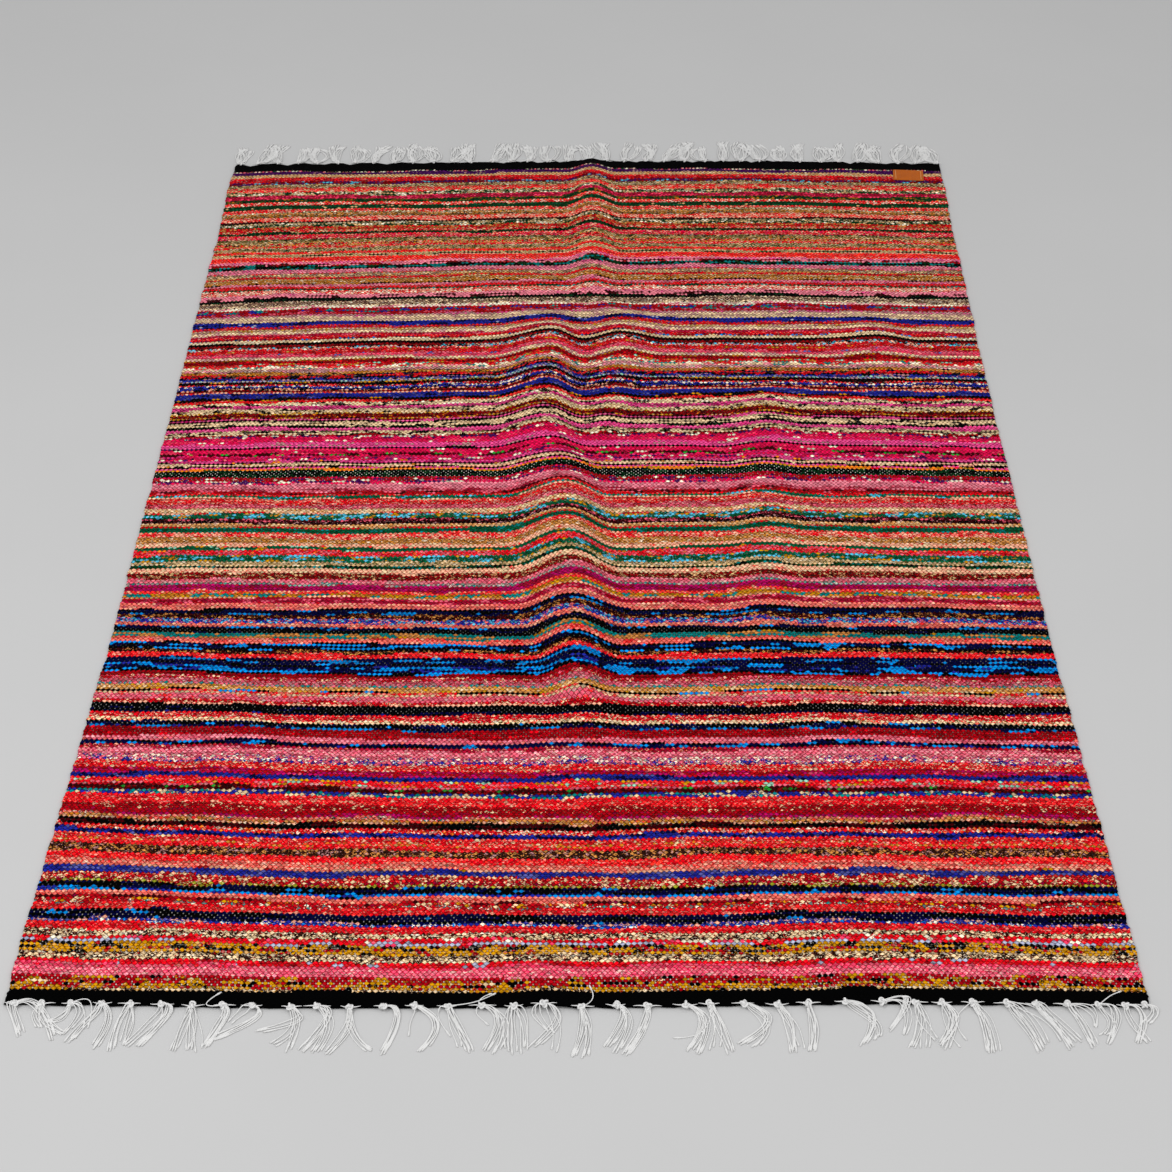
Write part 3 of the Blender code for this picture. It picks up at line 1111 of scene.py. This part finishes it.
def cotton_material():
    """White cotton, two plies twisted together, with painted shade in the grooves between the plies."""
    made, tree, shader = new_material("white_cotton", 0.85, 0.2)
    along, around = map_of(tree, "twist")
    ply = ((along * 2.6 + around) * (2 * math.pi)).math("SINE") * 0.5 + 0.5
    fluff = noise(tree, place(tree, along * 3.0, around * 5.0), 1.0, 3.0)
    # painted shade: darker in the grooves between the plies, lighter on their crests, with random fluff
    shade = blend(tree, ply * 0.7 + fluff * 0.3, opaque(COTTON_GROOVE_SHADE), opaque(COTTON_CREST_LIGHT))
    plug(tree, shade, shader.inputs["Base Color"])
    add_bump(tree, shader, ply + fluff * 0.6, 0.25 * MM)
    plug(tree, fluff * 0.2 + 0.75, shader.inputs["Roughness"])
    return made


def leather_material():
    """Tan leather with fine pores and a cloudy shade."""
    made, tree, shader = new_material("tan_leather", 0.6, 0.12)
    node = tree.nodes.new("ShaderNodeTexCoord")
    grain = tree.nodes.new("ShaderNodeTexVoronoi")
    tree.links.new(node.outputs["Object"], grain.inputs["Vector"])
    grain.inputs["Scale"].default_value = 1400
    cloud = noise(tree, node.outputs["Object"], 90.0, 4.0)
    pores = Wire(tree, grain.outputs["Distance"]).spread(0.0, 0.6)
    shade = blend(tree, cloud * 0.65 + pores * 0.35, opaque(LEATHER_DARK), opaque(LEATHER_LIGHT))
    plug(tree, shade, shader.inputs["Base Color"])
    add_bump(tree, shader, pores, 0.12 * MM)
    plug(tree, cloud * 0.25 + 0.45, shader.inputs["Roughness"])
    return made


def stitch_material():
    made, tree, shader = new_material("patch_thread", 0.7, 0.3)
    node = tree.nodes.new("ShaderNodeTexCoord")
    ply = noise(tree, node.outputs["Object"], 2500.0, 2.0)
    shade = blend(tree, ply, opaque(STITCH_DARK), opaque(STITCH_LIGHT))
    plug(tree, shade, shader.inputs["Base Color"])
    add_bump(tree, shader, ply, 0.1 * MM)
    return made


def floor_material():
    made, tree, shader = new_material("pale_floor", 0.75, 0.2)
    node = tree.nodes.new("ShaderNodeTexCoord")
    cloud = noise(tree, node.outputs["Object"], 2.0, 4.0)
    shade = blend(tree, cloud, opaque(FLOOR_DARK), opaque(FLOOR_LIGHT))
    plug(tree, shade, shader.inputs["Base Color"])
    return made


# Cloth


def places_across():
    """Where the mesh's columns run on the flat, from -1 to 1, closer over the ridges."""
    places = [-at for at in RIM_COLUMNS]
    for span in SPANS:
        count = round((span.high - span.low) / span.size)
        places += [span.low + (span.high - span.low) * i / count for i in range(count)]
    places += [SPANS[-1].high, *reversed(RIM_COLUMNS)]
    return np.array(places) / HALF_WIDTH


def pick_rows():
    """The mesh's rows, in picks: one along the crest of every pick, and two more round each end."""
    return np.array([0.0, END_ROW] + [n + 0.5 for n in range(PICKS)] + [PICKS - END_ROW, float(PICKS)])


def draw_selvedges(across, picks, guess, chance_of):
    """x of each place, with the turns of the yarns at both selvedges."""
    left = between(SIDES, "along", guess, "left")
    right = between(SIDES, "along", guess, "right")
    odd = np.floor(picks) % 2
    bite = SELVEDGE_BITE * (odd + SELVEDGE_STRAY * chance_of.uniform(-1, 1, picks.shape))
    turns = np.arange(len(picks)) / SELVEDGE_TURN
    loops = [np.interp(turns, np.arange(PICKS), chance_of.uniform(-1, 1, PICKS)) for _ in range(2)]
    bite_left, bite_right = [bite + SELVEDGE_LOOP * loop[:, None] for loop in loops]
    left = left + bite_left * np.clip(-across - SELVEDGE_FROM, 0, 0.01) * 100
    right = right - bite_right * np.clip(across - SELVEDGE_FROM, 0, 0.01) * 100
    return left + (across + 1) / 2 * (right - left)


def draw_ends(x, uneven, picks):
    """y of each place: the picks slant and wander, and the knots draw the last ones outward."""
    near, far = edge(x, "near"), edge(x, "far")
    y = near + uneven * (far - near)
    slant = between(SLANTS, "along", y, "left")
    towards_left = np.clip((SLANT_FROM - x) / (HALF_WIDTH + SLANT_FROM), 0, 1)
    y = y + slant * towards_left**SLANT_BEND
    calm = np.clip(np.minimum(uneven, 1 - uneven) / CALM_SHARE, 0, 1)
    for wave in PICK_WAVES:
        swing = np.sin(2 * np.pi * x / wave.length + wave.turn + picks / wave.drift)
        y = y + calm * wave.size * MM * swing
    waves = sum(wave.share * np.sin(2 * np.pi * x / wave.length + wave.turn) for wave in END_WAVES)
    for end, depth in END_DRAWN.items():
        share = uneven if end == "far" else 1 - uneven
        drawn = np.clip((share - (1 - END_SHARE)) / END_SHARE, 0, 1)
        y = y + depth * drawn * waves
    return y


def cloth_grid():
    """x, y and the share of full thickness for every row and column."""
    across = places_across()[None, :]
    picks = pick_rows()[:, None]
    chance_of = np.random.default_rng(WEAVE_SEED)
    stretch = np.cumsum(1 + PICK_STRETCH * chance_of.uniform(-1, 1, PICKS + 1))
    uneven = np.interp(picks, np.arange(PICKS + 1), (stretch - stretch[0]) / (stretch[-1] - stretch[0]))
    x = draw_selvedges(across, picks, -1 + CLOTH_LENGTH * uneven, chance_of)
    y = draw_ends(x, uneven, picks)
    from_end = np.minimum(picks, PICKS - picks) * CLOTH_LENGTH / PICKS
    from_side = np.minimum(across + 1, 1 - across) * HALF_WIDTH
    full = 1.0
    for reach in (from_end, from_side):
        short = 1 - np.clip(reach / EDGE_ROUND, 0, 1)
        full = full * np.sqrt(1 - short**2)
    return x, y, full * np.ones_like(x)


def pick_stripes(x, y):
    """The stripe of each pick between each two columns. A stripe's first and last picks come and go."""
    line = np.argmin(np.abs(x[0] - CHART_LINE))
    limits = np.array([stripe.until for stripe in STRIPES[:-1]])
    crests = slice(END_ROWS, -END_ROWS)
    reach = (y[crests, line] + 1) / CHART_UNIT
    middle = (x[crests, 1:] + x[crests, :-1]) / 2
    row = np.arange(PICKS)[:, None]
    stray = sum(
        wave.size * np.sin(middle * wave.per_metre + row * wave.per_pick + wave.turn) for wave in STRAY_WAVES
    )
    return np.searchsorted(limits, reach[:, None] + STRAY_REACH * stray)


def dyed(name):
    """A yarn's colour as a bead of it shows it in full light."""
    return [min(1.0, DYE_GAIN * part**DYE_DEPTH) for part in linear(YARNS[name])]


def stripe_tables():
    """What each stripe stores: its yarns' colours with the next one's share, and its habits."""
    tables = {name: [] for name in STORED}
    for stripe in STRIPES:
        tables["main"].append([*dyed(stripe.main), stripe.share])
        tables["second"].append([*dyed(stripe.second or stripe.main), stripe.rate])
        tables["accent"].append([*dyed(stripe.accent or stripe.main), 1])
        fluff = 0.0 if stripe.main in SMOOTH_YARNS else stripe.speckle**2
        tables["habit"].append([stripe.speckle, stripe.warp, fluff, 1])
    return {name: np.array(rows, np.float32) for name, rows in tables.items()}


def paint(mesh, x, y):
    """Stores the yarns of the two picks that each face straddles, for the material to choose from."""
    chart = pick_stripes(x, y)
    rows, columns = x.shape
    middles = (pick_rows()[:-1] + pick_rows()[1:]) / 2
    borders = np.round(middles).astype(int)
    borders[:END_ROWS] = 0
    borders[-END_ROWS:] = PICKS
    borders = np.tile(np.repeat(borders, columns - 1), 2)
    between_columns = np.tile(np.arange(columns - 1), 2 * (rows - 1))
    for name, table in stripe_tables().items():
        for part, shift in (("low_", -1), ("high_", 0)):
            picks = np.clip(borders + shift, 0, PICKS - 1)
            stripes = np.repeat(chart[picks, between_columns], 4)
            layer = mesh.color_attributes.new(part + name, "FLOAT_COLOR", "CORNER")
            layer.data.foreach_set("color", table[stripes].ravel())


def cloth_shell(x, y, full):
    """Points and faces of an upper and a lower grid that meet at the rim, and which points are used."""
    out_x, out_y, out_z = lean(x, y)
    base = lift(x, y)
    points = []
    for share in ((1 + full) / 2, (1 - full) / 2):
        high = CLOTH_THICK * share
        points.append(np.stack([x + out_x * high, y + out_y * high, base + out_z * high], -1).reshape(-1, 3))
    points = np.concatenate(points)
    # The rim's points are the same above and below, so the lower grid uses the upper one's there.
    upper = np.arange(x.size).reshape(x.shape)
    rim = np.ones(x.shape, bool)
    rim[1:-1, 1:-1] = False
    lower = np.where(rim, upper, upper + x.size)
    corners = [(grid[:-1, :-1], grid[:-1, 1:], grid[1:, 1:], grid[1:, :-1]) for grid in (upper, lower)]
    top = np.stack(corners[0], -1).reshape(-1, 4)
    under = np.stack([corners[1][k] for k in (0, 3, 2, 1)], -1).reshape(-1, 4)
    faces = np.concatenate([top, under])
    used = np.unique(faces)
    again = np.zeros(len(points), int)
    again[used] = np.arange(len(used))
    return points[used], again[faces], used


def lay_weave(mesh, x, y, faces, used):
    """The UV map of the weave: pairs of warps across, and picks along."""
    rows = len(x)
    arc = np.sqrt(np.diff(x, axis=1) ** 2 + np.diff(lift(x, y), axis=1) ** 2)
    arc = np.concatenate([np.zeros((rows, 1)), np.cumsum(arc, axis=1)], axis=1)
    warps = arc / arc[:, -1:] * WARP_PAIRS
    uv = np.stack([warps, np.broadcast_to(pick_rows()[:, None], x.shape)], -1).reshape(-1, 2)
    uv = np.concatenate([uv, uv])[used]
    layer = mesh.uv_layers.new(name="weave")
    layer.data.foreach_set("uv", uv[faces].astype(np.float32).ravel())


def make_cloth(material):
    x, y, full = cloth_grid()
    points, faces, used = cloth_shell(x, y, full)
    piece = add_piece("rug_cloth", points.tolist(), faces.tolist(), material, "cloth", "cloth")
    lay_weave(piece.data, x, y, faces, used)
    paint(piece.data, x, y)
    return piece


# Fringe


class Yarn:
    """Collects threads and knots into one mesh."""

    def __init__(self, seed=0):
        self.verts, self.faces, self.uvs = [], [], []
        self.chance = random.Random(seed)

    def skin(self, marks, sides, ends, inward=False):
        """Faces round the last rings of points, one ring for each mark, and over both ends."""
        start = len(self.verts) - len(marks) * sides
        order = (0, 3, 2, 1) if inward else (0, 1, 2, 3)
        for i in range(len(marks) - 1):
            low, high = start + i * sides, start + (i + 1) * sides
            for k in range(sides):
                j = (k + 1) % sides
                corners = (low + k, low + j, high + j, high + k)
                a, b, c, d = marks[i], marks[i + 1], k / sides, (k + 1) / sides
                places = ((a, c), (a, d), (b, d), (b, c))
                self.faces.append(tuple(corners[n] for n in order))
                self.uvs += [places[n] for n in order]
        first = tuple(range(start, start + sides))
        last = tuple(range(len(self.verts) - sides, len(self.verts)))
        self.faces += [first, last[::-1]] if inward else [first[::-1], last]
        self.uvs += [(ends[0], 0.5)] * sides + [(ends[1], 0.5)] * sides

    def tube(self, path, radii, sides=THREAD_SIDES):
        """A round tube along a path, closed at both ends."""
        length = 0.0
        marks = []
        for i, (point, radius) in enumerate(zip(path, radii)):
            ahead = path[min(i + 1, len(path) - 1)] - path[max(i - 1, 0)]
            ahead.normalize()
            side = ahead.cross(Vector((0, 0, 1)))
            if side.length < 1e-3:
                side = Vector((1, 0, 0))
            side.normalize()
            up = side.cross(ahead)
            if i:
                length += (point - path[i - 1]).length
            marks.append(length / (2 * math.pi * THREAD))
            for k in range(sides):
                turn = 2 * math.pi * k / sides
                self.verts.append(point + radius * (math.cos(turn) * side + math.sin(turn) * up))
        self.skin(marks, sides, (marks[0], marks[-1]))

    def lump(self, centre, size, turn):
        """A knot: an egg with grooves where its threads wrap round it."""
        spin = Matrix.Rotation(turn, 3, "Z") @ Matrix.Rotation(0.5, 3, "Y")
        for i in range(KNOT_RINGS + 1):
            tilt = math.pi * (i + KNOT_POLE) / (KNOT_RINGS + 2 * KNOT_POLE)
            for k in range(KNOT_SIDES):
                round_it = 2 * math.pi * k / KNOT_SIDES
                groove = 1 + 0.10 * math.cos(3 * (tilt * 2 + round_it) + turn)
                groove += 0.05 * math.cos(5 * round_it - 4 * tilt)
                x = math.sin(tilt) * math.cos(round_it)
                y = math.sin(tilt) * math.sin(round_it)
                at = spin @ (Vector((x, y, math.cos(tilt))) * groove)
                self.verts.append(centre + Vector((at.x * size.x, at.y * size.y, at.z * size.z)))
        marks = [(i + 0.5) * 0.8 for i in range(KNOT_RINGS + 1)]
        self.skin(marks, KNOT_SIDES, (0.5, 0.5), inward=True)

    def piece(self, name, material, slot, *nodes):
        return add_piece(name, [tuple(v) for v in self.verts], self.faces, material, slot, *nodes)


class Fringe:
    """One end's knots, ticks and threads. outward is -1 at the near end and 1 at the far end."""

    def __init__(self, name, end, outward, seed, thread=THREAD):
        self.name, self.end, self.outward, self.thread = name, end, outward, thread
        self.yarn = Yarn(seed)
        self.chance = self.yarn.chance

    def out_of(self, point):
        """How far a point is outside the cloth's end."""
        return (point.y - float(edge(point.x, self.end))) * self.outward

    def rest(self, point):
        """The height of what lies under a point, rounded off at the cloth's edge."""
        share = min(1.0, max(0.0, (self.out_of(point) + 1 * MM) / FOOT))
        return cloth_top(point.x, point.y) * (1 - eased(share))

    def knot(self, x):
        """A knot on the edge, with its ticks. Gives the point where the threads leave it."""
        chance = self.chance
        y = float(edge(x, self.end)) - self.outward * chance.uniform(-0.6, 1.6) * MM
        raised = float(lift(np.float64(x), np.float64(y)))
        centre = Vector((x, y, raised + KNOT_RISE + chance.uniform(-0.4, 0.8) * MM))
        size = KNOT * chance.uniform(0.86, 1.12)
        self.yarn.lump(centre, size, chance.uniform(0, 6))
        spin = Matrix.Rotation(chance.uniform(0, 6.3), 3, "Z")
        spin = spin @ Matrix.Rotation(chance.uniform(0.2, 1.2), 3, "X")
        wide = KNOT_TURNS * chance.uniform(0.9, 1.1)
        path = []
        for k in range(KNOT_STEPS + 1):
            t = 2 * math.pi * k / KNOT_STEPS
            turn = Vector((
                math.sin(t) + 2 * math.sin(2 * t),
                math.cos(t) - 2 * math.cos(2 * t),
                -1.5 * math.sin(3 * t),
            ))
            point = spin @ turn * wide
            path.append(centre + Vector((point.x, point.y, point.z * 0.8)))
        self.yarn.tube(path, [KNOT_THREAD] * len(path))
        for side in (-1, 1):
            self.tick(centre, side, chance.uniform(TICK_SHORT, TICK_LONG))
        return centre

    def tick(self, centre, side, long):
        """A thread's end that lies along the edge beside a knot."""
        path, radii = [], []
        for k in range(TICK_STEPS + 1):
            share = k / TICK_STEPS
            point = centre + Vector((side * long * share, -self.outward * 1.2 * MM * share, 0))
            point.y += 0.5 * MM * math.sin(share * 5 + centre.x * 60)
            ground = self.rest(point) + 0.6 * MM
            point.z = ground + (centre.z - ground) * (1 - share) ** 3 * 0.6
            path.append(point)
            radii.append(TICK_THREAD * (1 - 0.75 * share))
        self.yarn.tube(path, radii)

    def lock(self, centre, via, tip, threads, width, spans=THREAD_SPANS, curl=CURL, sides=THREAD_SIDES):
        """Threads that leave a knot side by side, bend through via and end about tip."""
        chance = self.chance
        control = via * 2 - (centre + tip) / 2
        heading = tip - centre
        heading.z = 0
        aside = Vector((-heading.y, heading.x, 0)).normalized()
        for i in range(threads):
            slot = (i - (threads - 1) / 2) / max(threads - 1, 1) * 2
            reach = 1 - abs(chance.gauss(0, 0.05))
            fan = slot * chance.uniform(*FAN) * width * MM + chance.gauss(0, FAN_STRAY * width) * MM
            belly = slot * BELLY * MM + chance.gauss(0, BELLY_STRAY) * MM
            level = chance.choice(LAYERS)
            phase, swing = chance.uniform(0, 6.3), chance.uniform(0.2, 1.0) * curl
            path, radii = [], []
            for k in range(spans + 1):
                t = k / spans * reach
                point = centre * (1 - t) ** 2 + control * (2 * t * (1 - t)) + tip * t**2
                offset = slot * ROOT * MM * (1 - t) + belly * 4 * t * (1 - t) * 0.6 + fan * t**1.6
                point = point + aside * (offset + swing * math.sin(phase + 7 * t))
                ground = self.rest(point) + self.thread
                stack = level * 1.5 * self.thread * (1 - 0.9 * t)
                away = min(1.0, (point - centre).xy.length / KNOT_SLOPE)
                point.z = ground + stack + max(0.0, centre.z - ground) * (1 - away) ** 2
                path.append(point)
                radii.append(self.thread * (1 + 0.06 * math.sin(11 * t + phase)))
            radii[-2:] = [self.thread * wide for wide in FRAYED]
            self.yarn.tube(path, radii, sides)

    def make(self, material):
        made = self.yarn.piece("rug_" + self.name, material, "warp", self.name)
        layer = made.data.uv_layers.new(name="twist")
        layer.data.foreach_set("uv", [n for uv in self.yarn.uvs for n in uv])
        return made


def make_near_fringe(material):
    fringe = Fringe("fringe_near", "near", -1, THREAD_SEED)
    knots = [fringe.knot(x * MM) for x in NEAR_KNOTS]
    for row in NEAR_LOCKS + STRAYS:
        back = row in STRAYS
        high = CLOTH_THICK if back else 0
        via = seen_at(row.via_x, row.via_y, high)
        tip = seen_at(row.tip_x, row.tip_y, high)
        fringe.lock(knots[row.tassel - 1], via, tip, row.threads, NEAR_SPREAD)
    return fringe.make(material)


def far_tassels():
    """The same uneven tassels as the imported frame's far end has."""
    chance = random.Random(FRINGE_SEED)
    count = len(NEAR_KNOTS)
    pitch = 2 * FAR_KNOT / (count - 1)
    rows = []
    for i in range(count):
        knot = -FAR_KNOT + pitch * i + chance.uniform(-KNOT_STRAY, KNOT_STRAY) * (0 < i < count - 1)
        drift = chance.uniform(-TASSEL_DRIFT, TASSEL_DRIFT)
        bow = chance.uniform(-TASSEL_BOW, TASSEL_BOW)
        rows.append(Tassel(knot, drift, bow, FAR_REACH - chance.uniform(0, TASSEL_SHORT)))
    return rows


def make_far_fringe(material):
    fringe = Fringe("fringe_far", "far", 1, THREAD_SEED + 1, FAR_THREAD)
    chance = fringe.chance
    for row in far_tassels():
        centre = fringe.knot(row.knot * MM)
        end = float(edge(row.knot * MM, "far"))
        lean_over = chance.uniform(-FAR_LEAN, FAR_LEAN)
        for _ in range(FAR_LOCKS):
            drift = row.drift + lean_over + chance.uniform(-FAR_DRIFT, FAR_DRIFT)
            reach = row.reach * chance.uniform(0.7, 1.0)
            tip = Vector(((row.knot + drift) * MM, end + reach * MM, 0))
            bow = row.bow + chance.uniform(-FAR_BOW, FAR_BOW)
            via = (centre + tip) / 2 + Vector((bow * MM, 0, 0))
            fringe.lock(centre, via, tip, FAR_THREADS, FAR_SPREAD, FAR_SPANS, FAR_CURL, FAR_SIDES)
    return fringe.make(material)


# Patch


def on_patch(x, y, height):
    """A point of the patch, turned and set in its place on the cloth."""
    turned = Matrix.Rotation(PATCH_TURN, 3, "Z") @ Vector((x, y, CLOTH_THICK + PATCH_GAP + height))
    return turned + PATCH_PLACE


def make_patch(material):
    """A leather rectangle with round corners and a rounded edge."""
    yarn = Yarn()
    for rim in PATCH_RIM:
        inset = rim.inset * MM
        corner = max(PATCH_CORNER - inset, 0.6 * MM)
        for turn, (sx, sy) in enumerate(((1, 1), (-1, 1), (-1, -1), (1, -1))):
            for k in range(CORNER_POINTS):
                angle = math.pi / 2 * (turn + k / (CORNER_POINTS - 1))
                x = sx * (PATCH_SIZE[0] / 2 - inset - corner) + corner * math.cos(angle)
                y = sy * (PATCH_SIZE[1] / 2 - inset - corner) + corner * math.sin(angle)
                yarn.verts.append(on_patch(x, y, PATCH_THICK * rim.height))
    yarn.skin(range(len(PATCH_RIM)), 4 * CORNER_POINTS, (0, 1))
    return yarn.piece("rug_patch", material, "patch", "patch")


def make_stitches(material):
    """A row of stitches across each end of the patch."""
    yarn = Yarn()
    step = (PATCH_SIZE[1] - STITCH_MARGIN) / STITCHES
    for side in (-1, 1):
        x = side * (PATCH_SIZE[0] / 2 - STITCH_INSET) + 0.2 * MM * side
        for i in range(STITCHES):
            y = (i - (STITCHES - 1) / 2) * step
            path, radii = [], []
            for k in range(STITCH_STEPS + 1):
                share = k / STITCH_STEPS - 0.5
                high = PATCH_THICK * 1.04 + STITCH_ARCH * (1 - (2 * share) ** 2) - 0.15 * MM
                path.append(on_patch(x, y + share * STITCH_SHARE * step, high))
                radii.append(STITCH_THREAD * (1 - 0.5 * abs(2 * share) ** 3))
            yarn.tube(path, radii)
    return yarn.piece("rug_patch_stitches", material, "patch")


# Studio


def make_floor():
    mesh = bpy.data.meshes.new("studio_floor")
    corners = ((-1, -1), (1, -1), (1, 1), (-1, 1))
    verts = [(x * FLOOR_REACH, y * FLOOR_REACH, -FLOOR_DROP) for x, y in corners]
    mesh.from_pydata(verts, [], [(0, 1, 2, 3)])
    mesh.materials.append(floor_material())
    floor = bpy.data.objects.new("studio_floor", mesh)
    bpy.context.scene.collection.objects.link(floor)


def add_lamp(row):
    lamp = bpy.data.lights.new(row.name, "AREA")
    lamp.shape = "DISK"
    lamp.size = row.size
    lamp.energy = row.power
    holder = bpy.data.objects.new(row.name, lamp)
    holder.location = row.place
    holder.rotation_euler = (-Vector(row.place)).to_track_quat("-Z", "Y").to_euler()
    bpy.context.scene.collection.objects.link(holder)


def make_light():
    world = bpy.data.worlds.new("studio_world")
    world.use_nodes = True
    ground = world.node_tree.nodes["Background"]
    ground.inputs["Color"].default_value = (1, 1, 1, 1)
    ground.inputs["Strength"].default_value = SKY_LIGHT
    bpy.context.scene.world = world
    for row in LAMPS:
        add_lamp(row)


def make_camera():
    data = bpy.data.cameras.new("photo_camera")
    data.sensor_width = SENSOR_MM
    data.lens = FOCAL_PIXELS / PHOTO_SIDE * SENSOR_MM
    data.clip_start, data.clip_end = CLIP
    camera = bpy.data.objects.new("photo_camera", data)
    camera.matrix_world = Matrix.Translation(EYE + SHIFT) @ TURN.to_4x4()
    bpy.context.scene.collection.objects.link(camera)
    bpy.context.scene.camera = camera


bpy.context.scene.view_settings.view_transform = "Standard"
make_camera()
make_light()
make_floor()
cloth = make_cloth(weave_material())
cotton = cotton_material()
near_fringe = make_near_fringe(cotton)
far_fringe = make_far_fringe(cotton)
patch = make_patch(leather_material())
stitches = make_stitches(stitch_material())
